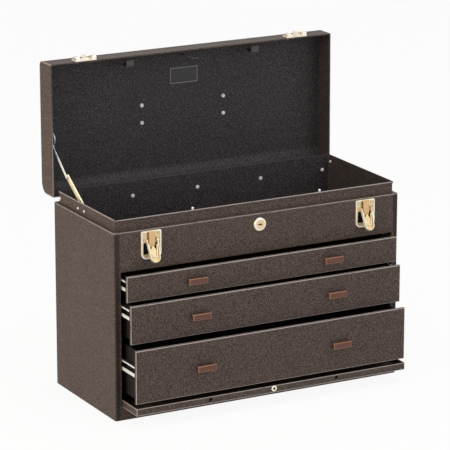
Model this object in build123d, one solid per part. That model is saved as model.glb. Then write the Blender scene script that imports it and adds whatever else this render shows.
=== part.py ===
"""Machinist tool chest: a steel case with three drawers, a top till under a
hinged lid, two draw latches, a key lock and a front panel that stows under
the drawers. It is shown in use: lid open, drawers and panel partly out.

Millimetres. +X is to the right, the front faces -Y, +Z is up. The origin is
the centre of the case's flat underside.
"""
import os
from math import acos, atan2, cos, degrees, hypot, radians, sin

from build123d import *

# ---------------------------------------------------------------- overall size
case_width = 511.0        # outside, left to right
case_depth = 216.0        # outside, front to back
lid_height = 42.0         # outside height of the lid
sheet = 1.0               # steel sheet of case, lid and drawers
bend_radius = 3.0         # outside radius of the case's upright corners
seat_gap = 0.3            # lid edge above the shoulder when shut
through = 20.0            # how far a cut reaches past what it cuts

# ---------------------------------------------------------------- front, floor upwards
rail_height = 20.5        # front strip under the stowed panel
panel_seat = 0.9          # panel above that strip
panel_thickness = 11.4
gap_over_panel = 6.6
drawer_3_height = 85.9
gap_over_drawer_3 = 6.1
drawer_2_height = 61.3
gap_over_drawer_2 = 3.2
drawer_1_height = 41.1
gap_over_drawer_1 = 3.5
header_height = 63.5      # strip that carries the latches and the lock

panel_bottom = rail_height + panel_seat
drawer_3_bottom = panel_bottom + panel_thickness + gap_over_panel
drawer_2_bottom = drawer_3_bottom + drawer_3_height + gap_over_drawer_3
drawer_1_bottom = drawer_2_bottom + drawer_2_height + gap_over_drawer_2
header_bottom = drawer_1_bottom + drawer_1_height + gap_over_drawer_1
shoulder_height = header_bottom + header_height

half_width = case_width / 2
half_depth = case_depth / 2
front_y = -half_depth
back_y = half_depth

# ---------------------------------------------------------------- case
stile_width = 11.0        # front strip each side of the drawers
seam_inset = 8.5          # case side to the seam at each end of the header
seam_width = 0.8
seam_depth = 0.5
stile_return = 8.0        # inward fold behind each stile
header_return = 14.0      # inward fold under the header
rail_return = 10.0        # inward fold on top of that strip
back_fold = 12.0          # fold of each side round the back
back_lap = 8.0            # back panel behind that fold
bottom_wall = 12.0        # upstand of the bottom pan

opening_half = half_width - stile_width

# ---------------------------------------------------------------- rim and till
rim_inset = 6.0           # step from the case side to the rim
rim_height = 19.0         # rim above the shoulder
rim_radius = 4.0          # corner radius of the rim
hem_out = 1.3             # thickness of the folded edge outside the rim
hem_height = 3.4
hem_seam = 0.6            # split of that edge beside each front corner
till_rise = 6.5           # till's floor above the header's lower edge
lock_space = 20.0         # room for lock and pins behind the header
felt_thickness = 1.5
felt_gap = 0.5            # round a felt

rim_half_x = half_width - rim_inset
rim_half_y = half_depth - rim_inset
rim_top = shoulder_height + rim_height
till_floor = header_bottom + till_rise
ledge_y = front_y + sheet + lock_space

# ---------------------------------------------------------------- lid hinge
hinge_offset = 3.8        # pin centre behind the back
hinge_rise = 2.5          # pin centre above the shoulder
hinge_end_gap = 15.5      # from each side of the case
knuckle_radius = 3.3
hinge_pin_radius = 1.5
running_gap = 0.05        # radial gap of a pin in its hole
knuckle_count = 24
knuckle_gap = 0.3         # between neighbours
leaf_thickness = 1.2
leaf_height = 18.0
lid_open_angle = 90.5     # from shut to the pose shown

hinge_length = case_width - 2 * hinge_end_gap
hinge_y = back_y + hinge_offset
hinge_z = shoulder_height + hinge_rise

# ---------------------------------------------------------------- lid
lid_front_radius = 10.0   # bend between top and front
lid_back_radius = 18.0    # softer bend between top and back
lid_hem_height = 8.0      # folded edge round the mouth
lid_flange = 7.0          # fold of each end cap
lid_crease_rise = 24.0    # crease along the lid's front above its mouth
lid_crease_width = 0.9
lid_crease_depth = 0.5

lid_bottom = shoulder_height + seat_gap
lid_top = lid_bottom + lid_height
lid_inner_top = lid_top - sheet

# ---------------------------------------------------------------- rivets
rivet_shank = 1.6
rivet_head = 3.4
rivet_head_height = 1.2
rim_rivet_head = 2.4
hinge_rivet_count = 5
hinge_rivet_margin = 4.0  # end of the hinge to its last rivet
hinge_rivet_drop = 6.0    # below the shoulder on the case leaf
lid_rivet_rise = 10.0     # above the pin on the lid leaf

hinge_rivet_pitch = (hinge_length - 2 * hinge_rivet_margin) / (hinge_rivet_count - 1)

# ---------------------------------------------------------------- drawers
drawer_1_proud = 18.0     # front of the case to the drawer's face, as shown
drawer_2_proud = 30.4
drawer_3_proud = 46.6
slide_1_drop = 7.6        # top of the slide under the front's top edge
slide_2_drop = 6.4
slide_3_drop = 26.3
front_side_gap = 1.5      # front to the stile on each side
front_depth = 5.0         # fold behind a drawer front
front_edge = 1.2          # rounding of a front's edges
closed_setback = 13.0     # shut drawer face behind the case front
box_rear_gap = 6.0        # shut box to the inside of the back
box_corner = 2.0
box_under_top = 3.5       # box rim under the front's top edge
box_over_bottom = 2.2     # box floor above the front's bottom edge

slide_height = 16.4       # drawer channel, outside
slide_out = 8.5           # how far it stands off the box
slide_sheet = 0.9
slide_end_gap = 6.0       # box is longer than its slides by this
slide_side_gap = 2.0      # slide to the stile's line
slide_lower_lip = 5.4
slide_upper_lip = 2.4
slide_gap = 0.3
rail_start_gap = 1.0      # shut front's fold to the start of the case rail
rail_flange = 1.2         # plate of the case rail on the side wall

pull_inset = 133.2        # case side to the middle of a pull
pull_length = 32.5
pull_height = 10.0
pull_reach = 9.0
pull_stem_length = 26.0
pull_stem_height = 5.6
pull_cap = 5.0            # depth of the bar in front of its stem

drawer_fronts = {
    1: dict(bottom=drawer_1_bottom, height=drawer_1_height, proud=drawer_1_proud, drop=slide_1_drop),
    2: dict(bottom=drawer_2_bottom, height=drawer_2_height, proud=drawer_2_proud, drop=slide_2_drop),
    3: dict(bottom=drawer_3_bottom, height=drawer_3_height, proud=drawer_3_proud, drop=slide_3_drop),
}
front_half = opening_half - front_side_gap
box_half = opening_half - slide_side_gap - slide_out
rail_setback = closed_setback + front_depth + rail_start_gap
pull_offset = half_width - pull_inset

# ---------------------------------------------------------------- front panel
panel_rear_gap = 4.0      # panel is shorter than the case by this
panel_proud = 49.0        # in front of the case in the pose shown
panel_pin_inset = 141.5   # case side to each locking pin and its hole
panel_hole_radius = 3.1
panel_hole_rise = 6.6     # above the panel's outer face
eyelet_radius = 4.8
eyelet_tube = 3.2
eyelet_bore = 2.2
guide_gap = 0.3
guide_overlap = 5.5       # how far each guide reaches over the panel's edge

panel_length = case_depth - panel_rear_gap
panel_pin_offset = half_width - panel_pin_inset

# ---------------------------------------------------------------- locking pins
pin_radius = 2.0
pin_rim_gap = 0.3         # behind the rim
pin_over_rim = 3.5        # top above the rim while the lid is open
pin_over_fold = 2.0       # lower end above the header's fold, then
pin_hole_gap = 0.3        # radial gap in the sheets that it passes
pin_collar = 3.4
pin_collar_height = 2.0
pin_guide_rise = 21.5     # guide above the header's lower edge
pin_guide_height = 16.0
pin_guide_half = 8.0
pin_guide_sheet = 2.0

pad_rise = 2.5            # pads of the shut lid above the shoulder
pad_contact_gap = 0.3     # between pad and pin, lid shut

pin_y = -rim_half_y + sheet + pin_rim_gap + pin_radius
pin_top = rim_top + pin_over_rim
pin_bottom = header_bottom + sheet + pin_over_fold
pad_low = shoulder_height + pad_rise
pin_stroke = pin_top - pad_low + pad_contact_gap
pin_guide_z = header_bottom + pin_guide_rise

# ---------------------------------------------------------------- latches
latch_inset = 63.0        # case side to the middle of a latch
latch_width = 34.8
latch_height = 45.0
latch_top = shoulder_height - 2.0
latch_plate = 1.2
latch_border = 2.2
latch_border_rise = 1.5
latch_corner = 9.0
latch_rivet_head = 2.0
latch_rivet_inset = 4.8   # plate's side to its upper rivets
latch_rivet_drop = 5.6    # upper rivets under the plate's top
latch_rivet_rise = 4.6    # lower rivet above the plate's lower edge
window_half = 13.0        # opening in the plate behind the lever
window_low = 7.2          # its lower edge above the plate's
window_height = 18.8
latch_window_corner = 2.0
window_lap = 0.5          # opening in the header is smaller by this
tongue_half = 5.2
tongue_length = 25.5
tongue_corner = 3.0
tongue_drop = 0.8         # under the plate's top
tongue_rise = 5.6         # tongue's front face off the plate's back
tongue_sheet = 1.2
lever_pivot_drop = 15.0   # pivot under the plate's top
lever_pivot_out = 5.4     # pivot in front of the header
lever_length = 35.0       # pivot to the tip
lever_half_top = 9.8
lever_half_tip = 8.0
lever_depth = 4.8
lever_sheet = 1.2
lever_kick = 22.5         # lever stands off the plate in the pose shown
spoon_height = 26.0       # closed part of the lever, tip to its point
spoon_point_half = 1.5
latch_pin_radius = 1.2
latch_pin_inside = 0.8    # each pin reaches past the lever's cheek by this
ear_thickness = 1.2
ear_radius = 3.2
ear_gap = 0.5
bail_radius = 0.9
bail_drop = 8.0           # bail pivot under the lever pivot
bail_length = 18.0
bail_side_gap = 0.3       # bail to the lever's cheeks
bail_half_end = 4.6

latch_offset = half_width - latch_inset

catch_width = 38.0        # keeper plate on the lid
catch_height = 18.0
catch_rise = 0.6          # above the lid's mouth
catch_rivet_inset = 5.0   # plate's side to its rivets
catch_rivet_rise = 8.5    # and above the mouth
catch_rivet_head = 2.4
cheek_width = 7.0
cheek_inset = 1.0
cheek_reach = 5.2
cheek_low = 0.8           # above the plate's lower edge
cheek_high = 4.5          # under its upper edge
hook_half = 5.0
hook_out = 8.6            # hook's back face off the lid
hook_sheet = 1.4
hook_rise = 6.0           # hook's root above the plate's lower edge
hook_drop = 8.0           # hook's end under the shoulder
curl_radius = 2.2
curl_bore = 0.9
curl_centre_rise = 1.0

# ---------------------------------------------------------------- lock
lock_drop = 18.0          # lock's middle under the shoulder
bezel_radius = 11.0
bezel_reach = 3.0
lock_body_radius = 8.5
plug_radius = 5.0
cam_y = front_y + 9.4
cam_thickness = 1.5
cam_length = 12.0
cam_half = 3.2
cam_neck = 2.6
cam_gap = 0.5
strike_leg = 2.6          # width of the strike's leg
strike_lip = 3.2
strike_clearance = 0.4    # cam's end to the leg
strike_cam_gap = 1.8      # upright cam to the lip
strike_foot_extra = 4.0   # foot is wider than the lip by this
strike_slot_gap = 1.2     # round the leg in the till's ledge

lock_z = shoulder_height - lock_drop

# ---------------------------------------------------------------- lid stay
stay_wall_x = -(rim_half_x - sheet)      # inside of the rim, left
stay_foot_reach = 93.3                   # lower pivot in front of the hinge
stay_foot_rise = 6.0                     # and above the shoulder
stay_head_reach = 82.2                   # upper pivot in front of the hinge, lid shut
stay_head_rise = 3.0                     # and above the rim
stay_lower_length = 75.5                 # channel, pivot to elbow
stay_slack = 0.2                         # open stay is this much short of straight
stay_plate = 1.2                         # both brackets and the flat link
stay_sheet = 1.0                         # channel link
stay_gap = 0.3
stay_strip_width = 3.8
stay_eye_radius = 2.8
stay_channel_height = 7.0
stay_channel_depth = 2.6
stay_pin_radius = 1.4
stay_spacer_radius = 2.1
stay_head_radius = 2.7
stay_head_height = 1.0
stay_bracket_front = 7.0                 # case bracket round its pivot and rivets
stay_bracket_edge = 6.0
stay_bracket_corner = 4.0
stay_disc_radius = 10.0
stay_boss_radius = 4.0
stay_arm_width = 6.0
stay_rim_gap = 0.6                       # boss over the rim
stay_disc_shift = 13.4                   # disc's middle in front of the upper pivot
stay_disc_drop = 3.1                     # and under it, lid shut
stay_rivet_reach = 10.9                  # rivets either side of the lower pivot
stay_rivet_rise = 1.5

stay_foot = (hinge_y - stay_foot_reach, shoulder_height + stay_foot_rise)
stay_shut_head = (hinge_y - stay_head_reach, rim_top + stay_head_rise)
stay_disc_centre = (stay_shut_head[0] - stay_disc_shift, stay_shut_head[1] - stay_disc_drop)
stay_rivets = ((stay_foot[0] - stay_rivet_reach, stay_foot[1] + stay_rivet_rise),
               (stay_foot[0] + stay_rivet_reach, stay_foot[1] + stay_rivet_rise))

# ---------------------------------------------------------------- handle
handle_offset = 75.0      # brackets either side of the middle
handle_bracket_x = 18.0
handle_bracket_y = 42.0
handle_plate = 1.5
handle_rivet_pitch = 29.0
handle_rod = 3.0
handle_loop = 5.4
handle_rise = 6.2         # rod centre above the lid
handle_swing = 30.0       # grip centre from the rod's axis
handle_arm_x = 57.0
handle_grip_length = 98.0
handle_grip_width = 20.0
handle_grip_thickness = 10.6

# ---------------------------------------------------------------- lid fittings
label_width = 52.0
label_height = 28.0
label_shift = 2.0         # right of the middle
label_setback = 50.5      # behind the lid's front
label_thickness = 0.6
striker_half = 6.5
pad_thickness = 1.2
bracket_sheet = 1.2
bracket_rise = 11.0
lid_fitting_gap = 0.5     # lid fittings above the rim when shut
striker_rim_gap = 0.6     # striker behind the rim's front
pad_depth = 10.0

pad_front_y = -rim_half_y + sheet + striker_rim_gap


# ================================================================ shape helpers
def block(x0, x1, y0, y1, z0, z1):
    """A box between two opposite corners."""
    size = (abs(x1 - x0), abs(y1 - y0), abs(z1 - z0))
    return Pos((x0 + x1) / 2, (y0 + y1) / 2, (z0 + z1) / 2) * Box(*size)


def rod_x(radius, x0, x1, y, z):
    """A round bar along X."""
    return Pos((x0 + x1) / 2, y, z) * Rot(0, 90, 0) * Cylinder(radius, abs(x1 - x0))


def rod_y(radius, y0, y1, x, z):
    """A round bar along Y."""
    return Pos(x, (y0 + y1) / 2, z) * Rot(90, 0, 0) * Cylinder(radius, abs(y1 - y0))


def rod_z(radius, z0, z1, x, y):
    """A round bar along Z."""
    return Pos(x, y, (z0 + z1) / 2) * Cylinder(radius, abs(z1 - z0))


def rounded(width, depth, radius, z0, z1):
    """An upright rounded rectangle between two heights, centred on the axis."""
    return Pos(0, 0, z0) * extrude(RectangleRounded(width, depth, radius), z1 - z0)


def tray(x_half, y0, y1, z0, z1, wall, radius):
    """An open-topped pan with rounded upright corners."""
    place = Pos(0, (y0 + y1) / 2, 0)
    outer = rounded(2 * x_half, y1 - y0, radius, z0, z1)
    inner = rounded(2 * (x_half - wall), y1 - y0 - 2 * wall, max(radius - wall, 0.2), z0 + wall, z1)
    return place * (outer - inner)


def link_shape(start, end, width, x0, x1):
    """A flat bar with round ends between two (y, z) points, from x0 to x1."""
    dy, dz = end[0] - start[0], end[1] - start[1]
    length = hypot(dy, dz)
    middle = ((start[0] + end[0]) / 2, (start[1] + end[1]) / 2)
    outline = Rot(0, 0, degrees(atan2(dz, dy))) * SlotCenterToCenter(length, width)
    face = Plane((x0, middle[0], middle[1]), x_dir=(0, 1, 0), z_dir=(1, 0, 0)) * outline
    return extrude(face, amount=x1 - x0)


def both_sides(shape):
    """The shape and its mirror image across the middle plane."""
    return [shape, mirror(shape, about=Plane.YZ)]


def opened(shape):
    """A lid piece, modelled shut, turned to the open pose."""
    return Pos(0, hinge_y, hinge_z) * Rot(-lid_open_angle, 0, 0) * Pos(0, -hinge_y, -hinge_z) * shape


def kicked(shape):
    """A latch lever, modelled flat, swung off its plate."""
    y, z = lever_pivot()
    return Pos(0, y, z) * Rot(-lever_kick, 0, 0) * Pos(0, -y, -z) * shape


def opened_point(point):
    """Where a (y, z) point of the shut lid lies in the open pose."""
    angle = radians(-lid_open_angle)
    dy, dz = point[0] - hinge_y, point[1] - hinge_z
    return hinge_y + dy * cos(angle) - dz * sin(angle), hinge_z + dy * sin(angle) + dz * cos(angle)


def save(node, *shapes):
    """Write one named node: every solid in the shapes."""
    solids = [solid for shape in shapes for solid in shape.solids()]
    export_step(Compound(solids), f"parts/{node}.step")


def rivet_y(x, z, y_front, y_back, shank=rivet_shank, head=rivet_head):
    """A rivet along Y that clamps everything between two faces."""
    height = rivet_head_height
    bar = rod_y(shank, y_front - height / 2, y_back + height / 2, x, z)
    front = rod_y(head, y_front - height, y_front, x, z)
    back = rod_y(head, y_back, y_back + height, x, z)
    front = fillet(front.edges().sort_by(Axis.Y)[0], height * 0.6)
    back = fillet(back.edges().sort_by(Axis.Y)[-1], height * 0.6)
    return bar + front + back


# ================================================================ case
def latch_rivet_points():
    """Rivets of both latch plates, two above and one below: (x, z)."""
    reach = latch_width / 2 - latch_rivet_inset
    high = latch_top - latch_rivet_drop
    low = latch_top - latch_height + latch_rivet_rise
    return [(side * latch_offset + x, z)
            for side in (-1, 1) for x, z in ((-reach, high), (reach, high), (0, low))]


def catch_rivet_points():
    """Rivets of both keepers on the lid: (x, z), lid shut."""
    reach = catch_width / 2 - catch_rivet_inset
    return [(side * latch_offset + edge * reach, lid_bottom + catch_rivet_rise)
            for side in (-1, 1) for edge in (-1, 1)]


def hinge_rivet_xs():
    first = -(hinge_rivet_count - 1) / 2
    return [(first + i) * hinge_rivet_pitch for i in range(hinge_rivet_count)]


def rivet_holes_y(points, y0, y1):
    """Shank holes along Y through the sheet between y0 and y1."""
    return [rod_y(rivet_shank, y0, y1, x, z) for x, z in points]


def latch_window(half, low, high):
    """The right latch plate's opening, cut through the plate and the header."""
    base = latch_top - latch_height
    hole = block(latch_offset - half, latch_offset + half, front_y - through, front_y + 2 * sheet,
                 base + low, base + high)
    return fillet(hole.edges().filter_by(Axis.Y), latch_window_corner)


def case_body():
    """Front frame and both sides, folded from one sheet."""
    top = shoulder_height - sheet
    outer = rounded(case_width, case_depth, bend_radius, 0, top)
    inner = rounded(case_width - 2 * sheet, case_depth - 2 * sheet, bend_radius - sheet, -1, top + 1)
    body = outer - inner
    back_half = half_width - back_fold
    body -= block(-back_half, back_half, 0, back_y + 1, -1, top + 1)
    body -= block(-opening_half, opening_half, front_y - 1, 0, rail_height, header_bottom)
    inside = front_y + sheet
    for fold in both_sides(block(opening_half, opening_half + sheet, inside - sheet / 2,
                                 front_y + stile_return, rail_height, header_bottom)):
        body += fold
    reach = opening_half + sheet
    body += block(-reach, reach, inside - sheet / 2, front_y + header_return,
                  header_bottom, header_bottom + sheet)
    body += block(-reach, reach, inside - sheet / 2, front_y + rail_return,
                  rail_height - sheet, rail_height)
    body -= rod_y(lock_body_radius, front_y - 1, inside + 1, 0, lock_z)
    for hole in both_sides(rod_z(pin_radius + pin_hole_gap, header_bottom - 1, header_bottom + sheet + 1,
                                 panel_pin_offset, pin_y)):
        body -= hole
    for hole in rivet_holes_y(latch_rivet_points(), front_y - 1, inside + 1):
        body -= hole
    for hole in both_sides(latch_window(window_half - window_lap, window_low + window_lap,
                                        window_low + window_height - window_lap)):
        body -= hole
    seam_x = half_width - seam_inset
    for seam in both_sides(block(seam_x - seam_width, seam_x, front_y - 1, front_y + seam_depth,
                                 header_bottom - 1, top + 1)):
        body -= seam
    return body


def case_back():
    """Back panel, flush between the folds of the sides."""
    half = half_width - back_fold - 0.2
    lap_half = half + back_lap
    top = shoulder_height - sheet
    panel = block(-half, half, back_y - sheet, back_y, 0, top)
    panel += block(-lap_half, lap_half, back_y - 2 * sheet, back_y - sheet, bottom_wall + 2, top)
    points = [(x, shoulder_height - hinge_rivet_drop) for x in hinge_rivet_xs()]
    for hole in rivet_holes_y(points, back_y - 3 * sheet, back_y + sheet):
        panel -= hole
    return panel


def case_bottom():
    """Bottom pan inside the foot of the case."""
    return tray(half_width - sheet, front_y + sheet, back_y - sheet, 0, bottom_wall,
                sheet, bend_radius - sheet)


def top_rim():
    """Shoulder and upright rim that the lid closes over."""
    ring = rounded(case_width, case_depth, bend_radius, shoulder_height - sheet, shoulder_height)
    ring += rounded(2 * rim_half_x, 2 * rim_half_y, rim_radius, shoulder_height, rim_top)
    hem = rounded(2 * (rim_half_x + hem_out), 2 * (rim_half_y + hem_out), rim_radius + hem_out,
                  rim_top - hem_height, rim_top)
    hem = fillet(hem.edges().group_by(Axis.Z)[-1] + hem.edges().group_by(Axis.Z)[0], hem_out * 0.7)
    for seam in hem_seams():
        hem -= seam
    ring += hem
    inner = rounded(2 * (rim_half_x - sheet), 2 * (rim_half_y - sheet), rim_radius - sheet,
                    shoulder_height - sheet - 1, rim_top + 1)
    ring -= inner
    for y, z in stay_rivets:
        ring -= rod_x(rivet_shank, -rim_half_x - 1, stay_wall_x + 1, y, z)
    for hole in both_sides(rim_rivet_shank()):
        ring -= hole
    return ring


def hem_seams():
    """Splits of the rim's folded edge on both sides of each front corner."""
    x, y = rim_half_x - rim_radius, -rim_half_y + rim_radius
    low, high = rim_top - hem_height - 1, rim_top + 1
    front = block(x - hem_seam, x, -rim_half_y - through, y, low, high)
    side = block(x, rim_half_x + through, y, y + hem_seam, low, high)
    return both_sides(front) + both_sides(side)


def rim_rivet_place():
    """Corner rivet of the rim: (y, z)."""
    return rim_half_y - 7.0, shoulder_height + 8.0


def rim_rivet_shank():
    y, z = rim_rivet_place()
    return rod_x(rivet_shank, rim_half_x - sheet, rim_half_x, y, z)


def rivet_x(y, z, x0, x1, head=rivet_head):
    """A rivet along X between two faces, x0 < x1."""
    height = rivet_head_height
    low = fillet(rod_x(head, x0 - height, x0, y, z).edges().sort_by(Axis.X)[0], height * 0.6)
    high = fillet(rod_x(head, x1, x1 + height, y, z).edges().sort_by(Axis.X)[-1], height * 0.6)
    return rod_x(rivet_shank, x0 - height / 2, x1 + height / 2, y, z) + low + high


def rim_rivets():
    y, z = rim_rivet_place()
    return both_sides(rivet_x(y, z, rim_half_x - sheet, rim_half_x, rim_rivet_head))


def strike_slot():
    """Slot in the till's ledge that the lid's strike drops through."""
    x0, x1 = strike_span()
    gap = strike_slot_gap
    return block(-x1 - gap, -x0 + gap, cam_y - gap, cam_y + cam_thickness + gap,
                 shoulder_height - 3 * sheet, shoulder_height)


def till_pan():
    """Top till: floor and walls under the rim, stepped back behind the lock."""
    top = shoulder_height - sheet
    middle = (ledge_y + rim_half_y) / 2
    depth = rim_half_y - ledge_y
    outer = rounded(2 * rim_half_x, depth, rim_radius, till_floor - sheet, top)
    inner = rounded(2 * (rim_half_x - sheet), depth - 2 * sheet, rim_radius - sheet, till_floor, top + 1)
    pan = Pos(0, middle, 0) * (outer - inner)
    ledge = block(-rim_half_x, rim_half_x, -rim_half_y, ledge_y + sheet, top - sheet, top)
    pan += ledge
    pan -= block(-rim_half_x + sheet, rim_half_x - sheet, ledge_y + sheet, 0, till_floor, top + 1)
    pan -= strike_slot()
    for hole in both_sides(rod_z(pin_radius + pin_hole_gap, top - 2 * sheet, top + 1,
                                 panel_pin_offset, pin_y)):
        pan -= hole
    points = [(x, shoulder_height - hinge_rivet_drop) for x in hinge_rivet_xs()]
    for hole in rivet_holes_y(points, rim_half_y - 2 * sheet, rim_half_y + 1):
        pan -= hole
    return pan


def till_felt():
    y0, y1 = ledge_y + sheet + felt_gap, rim_half_y - sheet - felt_gap
    width = 2 * (rim_half_x - sheet - felt_gap)
    sheet_shape = rounded(width, y1 - y0, rim_radius - sheet, till_floor, till_floor + felt_thickness)
    return Pos(0, (y0 + y1) / 2, 0) * sheet_shape


# ================================================================ hinge
def knuckle_spans(first):
    """Spans along X of every second knuckle, starting with the given one."""
    pitch = hinge_length / knuckle_count
    start = -hinge_length / 2
    return [(start + i * pitch, start + (i + 1) * pitch) for i in range(first, knuckle_count, 2)]


def hinge_leaf(low, high, own, other):
    """A hinge leaf between two heights with its own knuckles rolled on it."""
    half = hinge_length / 2
    leaf = block(-half, half, back_y, back_y + leaf_thickness, low, high)
    notch = knuckle_radius + 0.4
    for x0, x1 in other:
        leaf -= block(x0 - knuckle_gap / 2, x1 + knuckle_gap / 2, back_y - 1, hinge_y,
                      hinge_z - notch, hinge_z + notch)
    for x0, x1 in own:
        leaf += rod_x(knuckle_radius, x0 + knuckle_gap / 2, x1 - knuckle_gap / 2, hinge_y, hinge_z)
    return leaf - rod_x(hinge_pin_radius + running_gap, -half - 1, half + 1, hinge_y, hinge_z)


def hinge_case_leaf():
    leaf = hinge_leaf(hinge_z - leaf_height, hinge_z, knuckle_spans(0), knuckle_spans(1))
    points = [(x, shoulder_height - hinge_rivet_drop) for x in hinge_rivet_xs()]
    for hole in rivet_holes_y(points, back_y - 1, back_y + 2 * leaf_thickness):
        leaf -= hole
    return leaf


def hinge_lid_leaf():
    leaf = hinge_leaf(hinge_z, hinge_z + leaf_height, knuckle_spans(1), knuckle_spans(0))
    points = [(x, hinge_z + lid_rivet_rise) for x in hinge_rivet_xs()]
    for hole in rivet_holes_y(points, back_y - 1, back_y + 2 * leaf_thickness):
        leaf -= hole
    return leaf


def hinge_pin():
    half = hinge_length / 2
    return rod_x(hinge_pin_radius, -half, half, hinge_y, hinge_z)


def hinge_case_rivets():
    """Through leaf, back and till wall, so their heads show inside the till."""
    z = shoulder_height - hinge_rivet_drop
    return [rivet_y(x, z, rim_half_y - sheet, back_y + leaf_thickness) for x in hinge_rivet_xs()]


def hinge_lid_rivets():
    z = hinge_z + lid_rivet_rise
    return [rivet_y(x, z, back_y - sheet, back_y + leaf_thickness) for x in hinge_rivet_xs()]


# ================================================================ lid, modelled shut
def lid_section(inset):
    """Side view of the lid, shrunk by inset, with its mouth left open below."""
    height = lid_height - inset + 5
    width = case_depth - 2 * inset
    outline = Rectangle(width, height)
    front = outline.vertices().sort_by(Axis.Y)[-2:].sort_by(Axis.X)[0]
    outline = fillet(front, lid_front_radius - inset)
    back = outline.vertices().sort_by(Axis.X)[-2:].sort_by(Axis.Y)[-1]
    outline = fillet(back, lid_back_radius - inset)
    return Plane.YZ * Pos(0, lid_top - inset - height / 2) * outline


def lid_solid(inset, half_length):
    """The lid's form as a solid block down to its mouth."""
    solid = extrude(lid_section(inset), amount=half_length, both=True)
    return solid - block(-half_width - 1, half_width + 1, front_y - 1, back_y + 1,
                         lid_bottom - through, lid_bottom)


def lid_shell():
    """Front, top and back of the lid, folded from one sheet."""
    shell = lid_solid(0, half_width) - lid_solid(sheet, half_width + 1)
    hem_top = lid_bottom + lid_hem_height
    inside = half_width - 2 * sheet
    for y0 in (front_y + sheet / 2, back_y - 2 * sheet):
        shell += block(-inside, inside, y0, y0 + 1.5 * sheet, lid_bottom, hem_top)
    crease = lid_bottom + lid_crease_rise
    shell -= block(-half_width - 1, half_width + 1, front_y - 1, front_y + lid_crease_depth,
                   crease, crease + lid_crease_width)
    for x, z in catch_rivet_points():
        shell -= rod_y(rivet_shank, front_y - 1, front_y + 3 * sheet, x, z)
    for x in hinge_rivet_xs():
        shell -= rod_y(rivet_shank, back_y - 3 * sheet, back_y + 1, x, hinge_z + lid_rivet_rise)
    for x, y in handle_rivet_points():
        shell -= rod_z(rivet_shank, lid_inner_top - 1, lid_top + 1, x, y)
    return shell


def lid_end():
    """Right end cap: a plate with a fold all round, inside the shell."""
    plate = lid_solid(sheet, half_width) - block(-half_width - 2, half_width - sheet,
                                                 front_y - 1, back_y + 1, 0, lid_top + 1)
    ring = lid_solid(sheet, half_width) - lid_solid(2 * sheet, half_width + 1)
    ring -= block(-half_width - 2, half_width - lid_flange, front_y - 1, back_y + 1, 0, lid_top + 1)
    hem = block(half_width - lid_flange, half_width, front_y, back_y, 0, lid_bottom + lid_hem_height)
    cap = plate + (ring - hem)
    cap += block(half_width - 2 * sheet, half_width - sheet / 2, front_y + 2.2 * sheet,
                 back_y - 2.2 * sheet, lid_bottom, lid_bottom + lid_hem_height)
    return cap


def over_rim_bracket(x0, x1, y_back):
    """Angle on the lid's front wall that reaches back over the rim."""
    z = rim_top + lid_fitting_gap
    inside = front_y + sheet
    foot = block(x0, x1, inside, inside + bracket_sheet, z, z + bracket_rise)
    return foot + block(x0, x1, inside, y_back, z, z + bracket_sheet)


def striker_span():
    """X range of the right striker and of its pad."""
    return panel_pin_offset - striker_half, panel_pin_offset + striker_half


def lid_striker():
    """Right bracket: over the rim and down inside it, to push a locking pin."""
    x0, x1 = striker_span()
    y_back = pad_front_y + pad_depth
    toe = pad_low + pad_thickness
    striker = over_rim_bracket(x0, x1, y_back)
    striker += block(x0, x1, y_back - bracket_sheet, y_back, toe,
                     rim_top + lid_fitting_gap + bracket_sheet)
    return striker + block(x0, x1, pad_front_y, y_back, toe, toe + bracket_sheet)


def lid_pad():
    """Right pad, under its striker's toe."""
    x0, x1 = striker_span()
    pad = block(x0, x1, pad_front_y, pad_front_y + pad_depth, pad_low, pad_low + pad_thickness)
    return fillet(pad.edges().filter_by(Axis.Z), 1.0)


def strike_span():
    """Distances from the middle to the near and far side of the lock's strike."""
    return cam_half + strike_cam_gap, cam_length + strike_clearance + strike_leg


def lid_lock_strike():
    """Hook on the lid, left of the lock, that the lock's cam turns over."""
    x0, x1 = strike_span()
    y0, y1 = cam_y, cam_y + cam_thickness
    lip_top = lock_z - cam_half - cam_gap
    shelf_z = rim_top + lid_fitting_gap
    hook = over_rim_bracket(-x1 - strike_foot_extra, -x0, y1)
    hook += block(-x1, -x1 + strike_leg, y0, y1, lip_top - strike_lip, shelf_z + bracket_sheet / 2)
    return hook + block(-x1, -x0, y0, y1, lip_top - strike_lip, lip_top)


def label_plate():
    """Blank plate inside the lid."""
    x, y = label_shift, front_y + label_setback
    plate = block(x - label_width / 2, x + label_width / 2, y - label_height / 2,
                  y + label_height / 2, lid_inner_top - label_thickness, lid_inner_top)
    return fillet(plate.edges().filter_by(Axis.Z), 1.5)


# ================================================================ handle, modelled with the lid shut
def handle_rivet_points():
    return [(side * handle_offset, edge * handle_rivet_pitch / 2)
            for side in (-1, 1) for edge in (-1, 1)]


def handle_bracket():
    """Right bracket: a plate with a loop that the handle's rod turns in."""
    x = handle_offset
    half_x, half_y = handle_bracket_x / 2, handle_bracket_y / 2
    axis_z = lid_top + handle_rise
    plate = block(x - half_x, x + half_x, -half_y, half_y, lid_top, lid_top + handle_plate)
    plate = fillet(plate.edges().filter_by(Axis.Z), 5.0)
    loop = rod_x(handle_loop, x - half_x, x + half_x, 0, axis_z)
    loop += block(x - half_x, x + half_x, -handle_loop, handle_loop, lid_top, axis_z)
    bracket = plate + loop
    bracket -= rod_x(handle_rod + running_gap, x - half_x - 1, x + half_x + 1, 0, axis_z)
    for side, y in handle_rivet_points():
        if side > 0:
            bracket -= rod_z(rivet_shank, lid_top - 1, lid_top + handle_plate + 1, x, y)
    return bracket


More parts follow.
